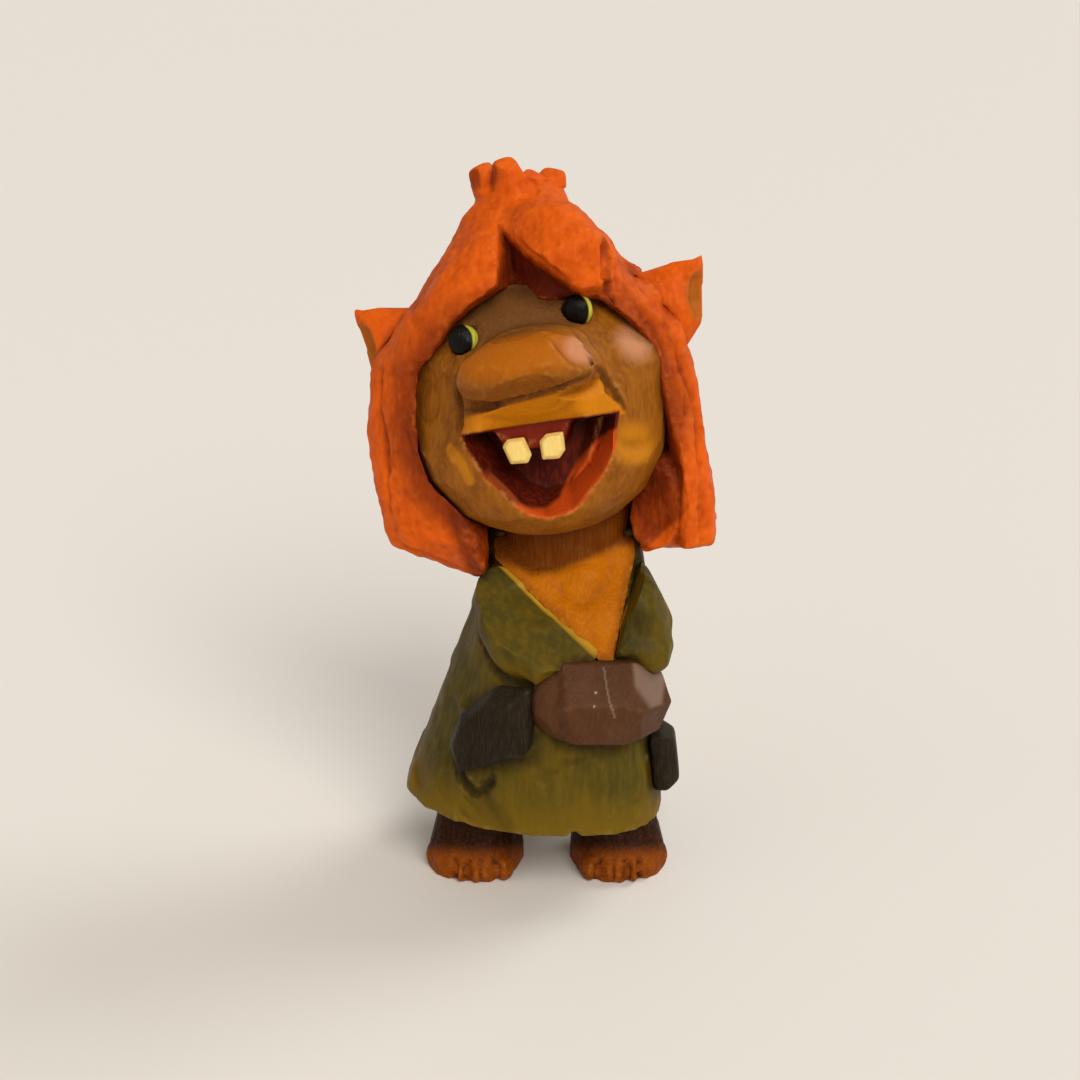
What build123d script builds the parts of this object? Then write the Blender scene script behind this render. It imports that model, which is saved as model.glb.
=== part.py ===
from build123d import *

import os
from math import cos, radians, sin

# A carved and painted troll: a laughing block head under a cap of hair, on a flared coat with the
# hands in a muff, standing on two broad bare feet. The carvings are glued and pegged together.
# Millimetres and degrees. +Z is up and the figure faces -Y, so its right side is at -X.
# Angles round the body and the head run from the left side at 0 over the back at 90 to the front at 270.

# Coat: a flared block, upright in front up to the belly and leaning back above it.
HEM_HEIGHT = 21.0
BELLY_HEIGHT = 67.0
CHEST_RISE = 21.0
COLLAR_HEIGHT = BELLY_HEIGHT + CHEST_RISE
HEM_RIGHT = 36.0
HEM_LEFT = 32.0
HEM_FRONT = 30.0
HEM_BACK = 32.0
BELLY_FRONT = 30.0
COLLAR_RIGHT = 12.0
COLLAR_LEFT = 24.0
COLLAR_FRONT = 11.0
COLLAR_BACK = 13.0
COAT_SIDES = 18
COAT_CORNERS = (1.75, 3.6, 2.2)
CREASE_RISE = 14.0
CREASE_WIDTH = 2.2

# Neck and shirt front, one carving let into the coat, and the collar round it.
NECK_X = 6.0
NECK_HALF_WIDTH = 16.5
NECK_HALF_DEPTH = 11.5
NECK_LENGTH = 18.0
NECK_ROOT = 14.0
NECK_SIDES = 14
SHIRT_TOP_HALF = 17.6
SHIRT_TIP_X = 16.6
SHIRT_TIP_HALF = 1.0
SHIRT_INSET = 1.2
STAND_WALL = 2.4
STAND_HEIGHT = 6.0

# Sleeves: fat limbs from the shoulders to the muff.
SHOULDER_ROUND = 8.5
ELBOW_ROUND = 11.0
CUFF_ROUND = 9.5
SLEEVE_SIDES = 9
SHOULDER_IN = 5.0
SHOULDER_DROP = 6.0
SHOULDER_FRONT = 5.0
SHOULDER_CAP = 3.0
ELBOW_OUT = 3.5
ELBOW_DROP = 15.0
ELBOW_FRONT = 16.0
CUFF_OUT = 8.3
CUFF_DROP = 23.0
RIGHT_CUFF_SUNK = 4.0
LEFT_CUFF_SUNK = 7.0

# Muff in front of the belly and a pouch on each hip.
MUFF_X = 14.4
MUFF_LENGTH = 22.5
MUFF_ROUND = 12.6
MUFF_END_ROUND = 9.0
MUFF_SIDES = 7
MUFF_DROP = 30.6
MUFF_SUNK = 4.0
MUFF_SAG = 3.0
MUFF_SWING = 6.0
POUCH_WIDTH = 24.0
POUCH_HEIGHT = 23.0
POUCH_PROUD = 5.0
POUCH_SUNK = 5.0
RIGHT_POUCH_ANGLE = 240.0
POUCH_HANG = 19.0
RIGHT_POUCH_RISE = BELLY_HEIGHT - POUCH_HANG - HEM_HEIGHT
LEFT_POUCH_ANGLE = 354.0
LEFT_POUCH_RISE = 12.5

# Feet: wide, splayed and toed, each with a short leg up to the hem.
STANCE_X = 1.8
STANCE_FRONT = 2.0
FOOT_SPACING = 37.0
FOOT_HALF_WIDTH = 12.2
FOOT_FRONT = 14.0
FOOT_BACK = 13.0
FOOT_EDGE = 5.0
FOOT_SPLAY = 16.0
LEG_ROUND = 9.0
TOES = 5
TOE_WIDTH = 5.6
TOE_LENGTH = 9.0
TOE_HEIGHT = 6.6
TOE_SLANT = 1.2

# Head pose: leaning back, tipped towards its own right and turned the same way.
HEAD_LEAN = 14.0
HEAD_TIP = 10.0
HEAD_TURN = 6.0
HEAD_OFFSET = 6.2
HEAD_SUNK = 12.0

# Face block, in the head's own frame: X across, -Y forward, Z up, origin behind the nose.
FACE_RIGHT = 33.0
FACE_LEFT = 29.8
FACE_FRONT = 29.0
FACE_BACK = 28.0
FACE_TOP = 21.0
CHIN_DROP = 39.5
FACE_SIDES = 20
FACE_CORNERS = (2.2, 2.2, 2.0)
LIP_PROUD = 3.5
LIP_HALF_WIDTH = 20.5
LIP_HALF_HEIGHT = 8.0
LIP_HALF_DEPTH = 14.0
LIP_RISE = 3.0
NOSE_HALF_WIDTH = 17.2
NOSE_PROUD = 14.0
NOSE_TOP = 8.7
NOSE_UNDER = 6.0
NOSE_ROOT = 8.0
NOSE_SLOPE = 10.0
NOSE_CURL = 4.5
NOSE_TIP_RISE = 1.0
FOLD_WIDTH = 1.7
FOLD_OUT = 2.5
FOLD_DROP = 9.0

# Mouth, teeth and eyes.
MOUTH_TOP = 12.4
MOUTH_DROP = 22.2
MOUTH_RIGHT = 18.6
MOUTH_LEFT = 21.5
MOUTH_DEPTH = 17.0
MOUTH_RIM = 2.0
GUM_WIDTH = 21.0
GUM_HEIGHT = 5.4
GUM_BACK = 5.0
GUM_ROOT = 3.0
TOOTH_WIDTH = 6.4
TOOTH_HEIGHT = 6.3
TOOTH_THICK = 3.6
TOOTH_LET_IN = 0.8
TOOTH_SPACING = 8.3
TOOTH_X = -1.1
EYE_SPACING = 27.8
EYE_HEIGHT = 11.3
EYE_SHIFT = -0.9
EYE_SKEW = 1.5
EYE_DIAMETER = 7.2
EYE_PROUD = 1.4
EYE_LENGTH = 8.0

# Hair cap: a bell from the crown to the shoulders, with a parting, a bang and long locks.
HAIR_RIGHT = 44.5
HAIR_LEFT = 38.5
HAIR_FRONT = 18.0
HAIR_BACK = 32.0
HAIR_DROP = 48.0
HAIR_TOP = 41.0
HAIR_SIDES = 18
HAIR_CORNERS = (2.3, 2.3, 2.3)
HAIR_TEMPLE = 0.9
HAIR_NECK_ROOM = 3.0
WINDOW_BACK = 2.0
WINDOW_FRONT = 20.0
BANG_X = 15.0
BANG_ROUND = 12.5
PARTING_X = 4.5
PARTING_DEPTH = 4.0
LOCK_GROOVE = 2.4
LOCKS = 9

# Tuft on the crown, and the ears.
TUFT_X = 1.2
TUFT_BACK = 3.0
TUFT_SPIKES = 7
TUFT_HEIGHT = 10.0
TUFT_ROUND = 10.0
TUFT_SUNK = 4.0
TUFT_CORE = 4.5
SPIKE_ROUND = 4.4
EAR_HEIGHT = 22.0
EAR_DEPTH = 13.0
EAR_BACK = 3.0
EAR_ROOT = 17.0
EAR_CUP = 6.0
RIGHT_EAR_PROUD = 3.5
LEFT_EAR_PROUD = 8.3

# Hidden pegs, each glued into holes of its own size plus a film of glue. The leg dowels end below
# the left pouch's peg.
GLUE_FILM = 0.1
NECK_DOWEL = 10.0
NECK_DOWEL_DOWN = 16.0
NECK_DOWEL_UP = 14.0
NECK_DOWEL_LEAN = 2.0
LEG_DOWEL = 8.0
LEG_PEG_GAP = 4.5
LEG_DOWEL_HALF = LEFT_POUCH_RISE - LEG_PEG_GAP
ARM_DOWEL = 5.0
ARM_DOWEL_LENGTH = 12.0
ARM_DOWEL_OUT = 1.8
ARM_DOWEL_BACK = 4.0
ARM_DOWEL_RISE = 2.0
MUFF_DOWEL = 6.0
MUFF_DOWEL_LENGTH = 22.0
POUCH_PEG = 4.0
POUCH_PEG_LENGTH = 13.0
EAR_PEG = 5.0
EAR_PEG_LENGTH = 14.0
EAR_PEG_INSET = 8.0
TUFT_PEG = 6.0
TUFT_PEG_LENGTH = 14.0
TUFT_PEG_RISE = 1.0

# A block larger than the figure, for flat knife cuts.
KNIFE = 120.0


def carved(rings):
    """A closed solid with flat knife facets through rings of points, each turning left about the run."""
    faces = [Face(Wire.make_polygon(rings[0][::-1])), Face(Wire.make_polygon(rings[-1]))]
    for low, high in zip(rings, rings[1:]):
        for i in range(len(low)):
            j = (i + 1) % len(low)
            corners = [low[i], low[j], high[j], high[i]]
            normal = (low[j] - low[i]).cross(high[j] - low[i])
            if abs(normal.normalized().dot(high[i] - low[i])) < 1e-6:
                faces.append(Face(Wire.make_polygon(corners)))
            else:
                faces.append(Face(Wire.make_polygon(corners[:3])))
                faces.append(Face(Wire.make_polygon([corners[0], corners[2], corners[3]])))
    return Solid(Shell(faces))


def main_solid(shape):
    """The largest solid of a cut, without the offcuts."""
    return max(shape.solids(), key=lambda solid: solid.volume)


def trim(blank, *tools):
    """A blank with other pieces cut out of it."""
    return main_solid(blank.cut(*tools))


def join(*blanks):
    """Several forms of one block, fused."""
    return main_solid(blanks[0].fuse(*blanks[1:]))


def between(low, high, share):
    """The value at a share of the way from low to high."""
    return low + (high - low) * share


def signed_power(value, power):
    """A power that keeps the sign of its base."""
    return abs(value) ** power if value >= 0 else -abs(value) ** power


def edge_point(station, angle, corners):
    """The point of a level outline at an angle; corners give the front right, front left and back."""
    height, right, left, front, back, centre_x = station
    across = cos(radians(angle))
    along = sin(radians(angle))
    corner = corners[2] if along > 0 else corners[1] if across > 0 else corners[0]
    reach_x = left if across > 0 else right
    reach_y = back if along > 0 else front
    x = centre_x + reach_x * signed_power(across, 2 / corner)
    y = reach_y * signed_power(along, 2 / corner)
    return Vector(x, y, height)


def station_at(stations, height):
    """The outline between two stations of a bell; past its ends, the last slope goes on."""
    k = 0
    while k < len(stations) - 2 and stations[k + 1][0] < height:
        k += 1
    low = stations[k]
    high = stations[k + 1]
    share = (height - low[0]) / (high[0] - low[0])
    return tuple(between(a, b, share) for a, b in zip(low, high))


def bell(stations, sides, corners):
    """A block through level outlines, bottom to top."""
    rings = []
    for station in stations:
        rings.append([edge_point(station, 360 * (k + 0.5) / sides, corners) for k in range(sides)])
    return carved(rings)


def egg(centre, half_sizes, sides, bands):
    """A faceted egg between two small flats."""
    rings = []
    last = 72
    for k in range(bands):
        lift = radians(last * (2 * k / (bands - 1) - 1))
        height = centre[2] + half_sizes[2] * sin(lift) / sin(radians(last))
        ring = []
        for i in range(sides):
            angle = radians(360 * (i + 0.5) / sides)
            x = centre[0] + half_sizes[0] * cos(lift) * cos(angle)
            y = centre[1] + half_sizes[1] * cos(lift) * sin(angle)
            ring.append(Vector(x, y, height))
        rings.append(ring)
    return carved(rings)


def limb(path, rounds, sides, turn=0.0):
    """A faceted limb along a path of points, with its radius at each."""
    points = [Vector(*point) for point in path]
    rings = []
    for k, point in enumerate(points):
        run = points[min(k + 1, len(points) - 1)] - points[max(k - 1, 0)]
        across = Vector(0, 0, 1).cross(run)
        if across.length < 1e-3:
            across = Vector(1, 0, 0)
        section = Plane(point, x_dir=across, z_dir=run)
        ring = []
        for i in range(sides):
            angle = radians(360 * i / sides + turn)
            spoke = Vector(rounds[k] * cos(angle), rounds[k] * sin(angle), 0)
            ring.append(section.from_local_coords(spoke))
        rings.append(ring)
    return carved(rings)


def groove(points, widths):
    """A V-shaped cutter along points of an upright surface, with its half width at each."""
    rings = []
    for k, point in enumerate(points):
        run = (points[min(k + 1, len(points) - 1)] - points[max(k - 1, 0)]).normalized()
        out = Vector(point.X, point.Y, 0).normalized() * widths[k]
        side = run.cross(out)
        rings.append([point + out - side, point + out + side, point - out])
    return carved(rings)


def slab(plane, outline, levels):
    """A faceted slab on a plane: the outline at each level, given as height and scale."""
    rings = []
    for height, scale in levels:
        rings.append([plane.from_local_coords(Vector(x * scale, y * scale, height)) for x, y in outline])
    return carved(rings)


def knife(point, normal):
    """The block of wood beyond a flat cut."""
    return main_solid(Plane(point, z_dir=normal) * Pos(0, 0, KNIFE / 2) * Box(KNIFE, KNIFE, KNIFE))


def rod(line, diameter):
    """A round dowel between the two points of a line."""
    run = line[1] - line[0]
    return Solid.make_cylinder(diameter / 2, run.length, Plane(line[0], z_dir=run))


def hole(line, diameter):
    """The hole that a dowel is glued into."""
    film = (line[1] - line[0]).normalized() * GLUE_FILM
    return rod((line[0] - film, line[1] + film), diameter + 2 * GLUE_FILM)


def coat_stations():
    """Hem, skirt, belly, chest and collar of the coat."""
    skirt = between(HEM_HEIGHT, BELLY_HEIGHT, 0.5)
    chest = between(BELLY_HEIGHT, COLLAR_HEIGHT, 0.5)
    fronts = {HEM_HEIGHT: HEM_FRONT,
              skirt: between(HEM_FRONT, BELLY_FRONT, 0.5),
              BELLY_HEIGHT: BELLY_FRONT,
              chest: between(BELLY_FRONT, COLLAR_FRONT, 0.5),
              COLLAR_HEIGHT: COLLAR_FRONT}
    stations = []
    for height, front in fronts.items():
        share = (height - HEM_HEIGHT) / (COLLAR_HEIGHT - HEM_HEIGHT)
        right = between(HEM_RIGHT, COLLAR_RIGHT, share)
        left = between(HEM_LEFT, COLLAR_LEFT, share)
        back = between(HEM_BACK, COLLAR_BACK, share)
        stations.append((height, right, left, front, back, 0.0))
    return stations


def neck_station(height, wall):
    """The outline of the neck with a wall round it."""
    half = NECK_HALF_WIDTH + wall
    deep = NECK_HALF_DEPTH + wall
    return (height, half, half, deep, deep, NECK_X)


def neckline():
    """The wedge between the lapels, from inside the chest to well in front of it."""
    stand_top = COLLAR_HEIGHT + STAND_HEIGHT
    outline = [(NECK_X - SHIRT_TOP_HALF, stand_top),
               (NECK_X - SHIRT_TOP_HALF, COLLAR_HEIGHT),
               (SHIRT_TIP_X - SHIRT_TIP_HALF, BELLY_HEIGHT),
               (SHIRT_TIP_X + SHIRT_TIP_HALF, BELLY_HEIGHT),
               (NECK_X + SHIRT_TOP_HALF, COLLAR_HEIGHT),
               (NECK_X + SHIRT_TOP_HALF, stand_top)]
    rings = []
    for y in (-COLLAR_FRONT / 2, -BELLY_FRONT - KNIFE / 4):
        rings.append([Vector(x, y, z) for x, z in outline])
    return carved(rings)


def shirt_blank():
    """The neck and the shirt front that fills the neckline behind the lapels."""
    low = neck_station(COLLAR_HEIGHT - NECK_ROOT, 0)
    high = neck_station(COLLAR_HEIGHT + NECK_LENGTH, 0)
    neck = bell([low, high], NECK_SIDES, (2, 2, 2))
    rise = COLLAR_HEIGHT - BELLY_HEIGHT
    lean = BELLY_FRONT - COLLAR_FRONT
    chest = knife((0, SHIRT_INSET - BELLY_FRONT, BELLY_HEIGHT), (0, -rise, lean))
    return join(neck, trim(neckline(), chest))


def collar_stand():
    """The stand of the coat's collar round the back and sides of the neck."""
    low = neck_station(COLLAR_HEIGHT - STAND_HEIGHT, 2 * STAND_WALL)
    high = neck_station(COLLAR_HEIGHT + STAND_HEIGHT, STAND_WALL)
    return trim(bell([low, high], NECK_SIDES, (2, 2, 2)), knife((0, -NECK_HALF_DEPTH / 2, 0), (0, -1, 0)))


def coat_blank():
    """The coat's block with its collar and the crease below the right pouch."""
    block = join(bell(coat_stations(), COAT_SIDES, COAT_CORNERS), collar_stand())
    crease = []
    for turn, rise in ((-18, 1.0), (-10, 0.57), (-2, 0.36), (7, 0.64)):
        station = station_at(coat_stations(), HEM_HEIGHT + rise * CREASE_RISE)
        crease.append(edge_point(station, RIGHT_POUCH_ANGLE + turn, COAT_CORNERS))
    return trim(block, groove(crease, [share * CREASE_WIDTH for share in (0.27, 0.82, 1.0, 0.27)]))


def sleeve_blank(shoulder_x, side, cuff_sunk):
    """A fat sleeve from the shoulder over the elbow to the muff; side is -1 right and 1 left."""
    shoulder = COLLAR_HEIGHT - SHOULDER_DROP
    path = [(shoulder_x, 0.67 * SHOULDER_CAP - SHOULDER_FRONT, shoulder + SHOULDER_CAP),
            (shoulder_x, -SHOULDER_FRONT, shoulder),
            (shoulder_x + ELBOW_OUT, -ELBOW_FRONT, COLLAR_HEIGHT - ELBOW_DROP),
            (MUFF_X + side * CUFF_OUT, cuff_sunk - BELLY_FRONT, COLLAR_HEIGHT - CUFF_DROP)]
    return limb(path, [0.6 * SHOULDER_ROUND, SHOULDER_ROUND, ELBOW_ROUND, CUFF_ROUND], SLEEVE_SIDES, 20)


def muff_blank():
    """The faceted muff, its left end swung back."""
    half = MUFF_LENGTH / 2
    depth = MUFF_SUNK - BELLY_FRONT
    height = COLLAR_HEIGHT - MUFF_DROP
    path = [(MUFF_X - half, depth + MUFF_SWING / 3, height - MUFF_SAG),
            (MUFF_X - 0.55 * half, depth, height),
            (MUFF_X + 0.5 * half, depth, height),
            (MUFF_X + half, depth + MUFF_SWING, height - MUFF_SAG)]
    return limb(path, [MUFF_END_ROUND, MUFF_ROUND, MUFF_ROUND, MUFF_END_ROUND], MUFF_SIDES, 12)


def pouch_plane(angle, rise):
    """The coat's surface under a pouch, facing out."""
    height = HEM_HEIGHT + rise
    stations = coat_stations()
    seat = edge_point(station_at(stations, height), angle, COAT_CORNERS)
    ahead = edge_point(station_at(stations, height), angle + 12, COAT_CORNERS)
    behind = edge_point(station_at(stations, height), angle - 12, COAT_CORNERS)
    along = ahead - behind
    up = edge_point(station_at(stations, height + POUCH_HEIGHT / 6), angle, COAT_CORNERS) - seat
    return Plane(seat, x_dir=along, z_dir=along.cross(up))


def pouch_blank(plane, side):
    """A slanted seven-sided pouch; side is -1 right and 1 left."""
    half = POUCH_WIDTH / 2
    tall = POUCH_HEIGHT / 2
    outline = [(-half, -0.3 * tall), (-0.68 * half, -tall), (0.0, -0.8 * tall), (half, -0.4 * tall),
               (half, 0.95 * tall), (0.2 * half, tall), (-0.75 * half, 0.45 * tall)]
    if side > 0:
        outline = [(-x, y) for x, y in outline[::-1]]
    return slab(plane, outline, [(-POUCH_SUNK, 0.9), (POUCH_PROUD * 0.35, 1.0), (POUCH_PROUD, 0.72)])


def foot_blank(side):
    """A foot in its own frame, toes to -Y, standing on Z = 0; side is -1 right and 1 left."""
    instep = between(FOOT_EDGE, HEM_HEIGHT, 0.4)
    instep_half = between(LEG_ROUND, FOOT_HALF_WIDTH, 0.55)
    instep_front = between(LEG_ROUND, FOOT_FRONT, 0.4)
    instep_back = between(LEG_ROUND, FOOT_BACK, 0.6)
    stations = [(0, FOOT_HALF_WIDTH, FOOT_HALF_WIDTH, FOOT_FRONT, FOOT_BACK, 0),
                (FOOT_EDGE, FOOT_HALF_WIDTH, FOOT_HALF_WIDTH, FOOT_FRONT, FOOT_BACK, 0),
                (instep, instep_half, instep_half, instep_front, instep_back, 0),
                (HEM_HEIGHT, LEG_ROUND, LEG_ROUND, LEG_ROUND, LEG_ROUND, 0)]
    blank = bell(stations, 16, (2.5, 2.5, 2.2))
    toes = []
    for k in range(TOES):
        share = 2 * k / (TOES - 1) - 1
        x = share * (FOOT_HALF_WIDTH - TOE_WIDTH * 0.45)
        y = -FOOT_FRONT + TOE_LENGTH * (0.28 + 0.5 * share * share) + TOE_SLANT * share * side
        half_width = TOE_WIDTH / 2 * (1.0 - 0.12 * share * side)
        toes.append(egg((x, y, TOE_HEIGHT * 0.45), (half_width, TOE_LENGTH / 2, TOE_HEIGHT * 0.55), 10, 5))
    return trim(join(blank, *toes), knife((0, 0, 0), (0, 0, -1)))


def head_frame():
    """Where the head's own frame stands on the neck."""
    height = COLLAR_HEIGHT + NECK_LENGTH + CHIN_DROP - HEAD_SUNK
    turned = Pos(NECK_X - HEAD_OFFSET, 0, height) * Rot(0, 0, -HEAD_TURN)
    return turned * Rot(-HEAD_LEAN, 0, 0) * Rot(0, -HEAD_TIP, 0)


def face_stations():
    """Chin, jaw, mouth, cheeks, eyes and brow of the face block, by shares of its sizes."""
    shares = [(0.0, 0.26, 0.34), (0.04, 0.48, 0.6), (0.125, 0.74, 0.83), (0.26, 0.93, 0.97),
              (0.405, 1.0, 1.0), (0.555, 0.99, 0.98), (0.72, 0.91, 0.88), (0.87, 0.77, 0.7),
              (1.0, 0.56, 0.45)]
    stations = []
    for rise, wide, deep in shares:
        height = between(-CHIN_DROP, FACE_TOP, rise)
        right = FACE_RIGHT * wide
        left = FACE_LEFT * wide
        stations.append((height, right, left, FACE_FRONT * deep, FACE_BACK * wide, 0.0))
    return stations


def nose_blank():
    """A broad wedge nose: one profile, drawn in towards both ends."""
    root = NOSE_ROOT - FACE_FRONT
    tip = -FACE_FRONT - NOSE_PROUD
    profile = [(root, -NOSE_UNDER), (root, NOSE_TOP), (tip + NOSE_SLOPE, NOSE_TOP),
               (tip, NOSE_TIP_RISE), (tip + NOSE_CURL, -0.92 * NOSE_UNDER)]
    middle = -NOSE_UNDER / 3
    rings = []
    for share, size in ((-1, 0.3), (-0.8, 0.68), (-0.4, 0.96), (0.35, 1.0), (0.8, 0.7), (1, 0.3)):
        x = share * NOSE_HALF_WIDTH
        rings.append([Vector(x, between(root, y, size), between(middle, z, size)) for y, z in profile])
    return carved(rings)


def mouth_tool():
    """The open mouth, flaring from its floor to the lips, with a straight upper edge."""
    outline = [(-MOUTH_RIGHT, 0.0), (-0.72 * MOUTH_RIGHT, 0.5), (-0.38 * MOUTH_RIGHT, 0.85),
               (-0.05 * MOUTH_RIGHT, 1.0), (0.3 * MOUTH_LEFT, 0.95), (0.66 * MOUTH_LEFT, 0.68),
               (0.9 * MOUTH_LEFT, 0.32), (MOUTH_LEFT, 0.0)]
    rings = []
    for y, size in ((MOUTH_DEPTH - FACE_FRONT, 0.72), (MOUTH_RIM - FACE_FRONT, 1.0),
                    (-FACE_FRONT - KNIFE / 4, 1.3)):
        rings.append([Vector(x * size, y, -MOUTH_TOP - drop * MOUTH_DROP * size) for x, drop in outline])
    return carved(rings)


def gum_blank():
    """The gum behind the teeth, hanging from the roof of the mouth."""
    half = GUM_WIDTH / 2
    outline = [(TOOTH_X - half, GUM_ROOT), (TOOTH_X - 0.62 * half, -GUM_HEIGHT),
               (TOOTH_X + 0.62 * half, -GUM_HEIGHT), (TOOTH_X + half, GUM_ROOT)]
    front = Plane((0, GUM_BACK - FACE_FRONT, -MOUTH_TOP), x_dir=(1, 0, 0), z_dir=(0, -1, 0))
    return slab(front, outline, [(GUM_BACK - MOUTH_DEPTH - GUM_ROOT, 1.0), (0, 1.0)])


def tooth_blank(side):
    """A chipped front tooth, let into the gum; side is -1 right and 1 left."""
    half = TOOTH_WIDTH / 2
    tall = TOOTH_HEIGHT
    outline = [(-half, 0.25 * tall), (-0.75 * half, -0.45 * tall), (0.55 * half, -0.5 * tall),
               (half, -0.2 * tall), (0.8 * half, 0.5 * tall), (-0.5 * half, 0.5 * tall)]
    x = TOOTH_X + side * TOOTH_SPACING / 2
    centre = (x, GUM_BACK + TOOTH_LET_IN - FACE_FRONT, -MOUTH_TOP - GUM_HEIGHT)
    front = Plane(centre, x_dir=(1, 0, 0), z_dir=(0, -1, 0))
    return slab(front, outline, [(0, 0.85), (TOOTH_THICK * 0.6, 1.0), (TOOTH_THICK, 0.7)])


def face_point(x, height):
    """The point of the face block in front of a place across and up."""
    station = station_at(face_stations(), height)
    reach = station[2] if x > 0 else station[1]
    corner = FACE_CORNERS[1] if x > 0 else FACE_CORNERS[0]
    depth = (1 - (abs(x) / reach) ** corner) ** (1 / corner)
    return Vector(x, -station[3] * depth, height)


def eye_blank(side):
    """A round plug with a domed front, square to the face; side is -1 right and 1 left."""
    x = EYE_SHIFT + side * EYE_SPACING / 2
    height = EYE_HEIGHT + side * EYE_SKEW
    near = EYE_DIAMETER / 4
    seat = face_point(x, height)
    across = face_point(x + near, height) - face_point(x - near, height)
    up = face_point(x, height + near) - face_point(x, height - near)
    gaze = across.cross(up).normalized()
    plug = rod((seat, seat - gaze * EYE_LENGTH), EYE_DIAMETER)
    dome = Solid.make_cone(EYE_DIAMETER / 2, EYE_DIAMETER / 3, EYE_PROUD, Plane(seat, z_dir=gaze))
    return join(plug, dome)


def smile_folds():
    """The two folds cut from the sides of the nose round the corners of the mouth."""
    folds = []
    for side, corner in ((-1, MOUTH_RIGHT), (1, MOUTH_LEFT)):
        path = []
        for out, drop in ((NOSE_HALF_WIDTH, -NOSE_UNDER / 2),
                          (corner + 0.6 * FOLD_OUT, 0.55 * MOUTH_TOP),
                          (corner + FOLD_OUT, MOUTH_TOP + FOLD_DROP / 3),
                          (corner + 0.4 * FOLD_OUT, MOUTH_TOP + FOLD_DROP)):
            path.append(face_point(side * out, -drop))
        folds.append(groove(path, [FOLD_WIDTH * 0.4, FOLD_WIDTH, FOLD_WIDTH, FOLD_WIDTH * 0.3]))
    return folds


def head_blank():
    """The face block before the eyes, teeth and neck are let in."""
    face = bell(face_stations(), FACE_SIDES, FACE_CORNERS)
    lip_centre = (0, LIP_HALF_DEPTH - FACE_FRONT - LIP_PROUD, LIP_RISE - MOUTH_TOP)
    lip = egg(lip_centre, (LIP_HALF_WIDTH, LIP_HALF_DEPTH, LIP_HALF_HEIGHT), 16, 6)
    block = join(face, lip, nose_blank())
    return join(trim(block, mouth_tool(), *smile_folds()), gum_blank())


def hair_stations():
    """Lock ends, locks, cheeks, temples, brow and crown of the hair, by shares of its sizes."""
    shares = [(-HAIR_DROP, 0.56, 0.95, 0.55, 0.72), (-0.78 * HAIR_DROP, 0.97, 1.0, 0.8, 0.86),
              (-0.5 * HAIR_DROP, 1.0, 1.0, 0.92, 0.95), (-0.17 * HAIR_DROP, 1.0, 1.0, 1.0, 1.0),
              (0.2 * HAIR_TOP, HAIR_TEMPLE, HAIR_TEMPLE, 1.2, 1.0), (0.51 * HAIR_TOP, 0.63, 0.66, 1.35, 0.85),
              (0.76 * HAIR_TOP, 0.42, 0.48, 1.05, 0.66), (HAIR_TOP, 0.26, 0.29, 0.5, 0.4)]
    stations = []
    for height, right, left, front, back in shares:
        stations.append((height, right * HAIR_RIGHT, left * HAIR_LEFT,
                         front * HAIR_FRONT, back * HAIR_BACK, 0.0))
    return stations


def bang_blank():
    """The bang, hanging from the parting over the left brow."""
    path = [(0.2 * BANG_X, -0.22 * HAIR_FRONT, 0.9 * HAIR_TOP),
            (0.53 * BANG_X, -0.72 * HAIR_FRONT, 0.745 * HAIR_TOP),
            (0.87 * BANG_X, -0.97 * HAIR_FRONT, 0.54 * HAIR_TOP),
            (BANG_X, -1.03 * HAIR_FRONT, 0.38 * HAIR_TOP)]
    return limb(path, [BANG_ROUND * 0.5, BANG_ROUND * 0.85, BANG_ROUND, BANG_ROUND * 0.55], 8)


def parting_tool():
    """The hollow beside the parting: deep at the parting and running out along the bang's ridge."""
    floor = [Vector(-0.44 * PARTING_X, PARTING_DEPTH / 2 - HAIR_FRONT, 0.88 * HAIR_TOP),
             Vector(-PARTING_X, PARTING_DEPTH - HAIR_FRONT, 0.46 * HAIR_TOP),
             Vector(1.13 * BANG_X, -1.6 * HAIR_FRONT, 0.36 * HAIR_TOP)]
    front = [Vector(corner.X, -KNIFE / 2, corner.Z) for corner in floor]
    return carved([floor, front])


def face_window():
    """The opening of the hair in front of the face, by shares of the face, wider towards the front."""
    shares = [(-0.12, 0.98), (-0.33, 0.8), (-0.52, 0.64), (-0.67, 0.39), (-0.81, 0.14), (-0.92, -0.165),
              (-0.94, -0.345), (-0.77, -0.665), (-0.64, -0.94), (-0.61, -1.52), (1.01, -1.52), (1.14, -0.785),
              (1.06, -0.31), (1.04, 0.05), (0.87, 0.38), (0.6, 0.74), (0.235, 0.71)]
    rings = []
    for y, size in ((WINDOW_BACK, 0.86), (-WINDOW_FRONT, 1.0), (-KNIFE / 2, 1.1)):
        ring = []
        for across, up in shares:
            x = across * (FACE_LEFT if across > 0 else FACE_RIGHT)
            z = up * (FACE_TOP if up > 0 else CHIN_DROP)
            ring.append(Vector(x * size, y, z * size))
        rings.append(ring)
    return carved(rings)


def lock_grooves():
    """Long grooves between the locks, from the crown down the sides and the back to the lock ends."""
    grooves = []
    for k in range(LOCKS):
        base = between(-20, 205, k / (LOCKS - 1))
        path = []
        for drift, share in ((5, 0.72), (-3, 0.2), (4, -0.3), (-3, -0.75), (2, -1.12)):
            height = share * HAIR_TOP if share > 0 else share * HAIR_DROP
            path.append(edge_point(station_at(hair_stations(), height), base + drift, HAIR_CORNERS))
        grooves.append(groove(path, [share * LOCK_GROOVE for share in (0.2, 0.8, 1.0, 1.0, 1.0)]))
    return grooves


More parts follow.
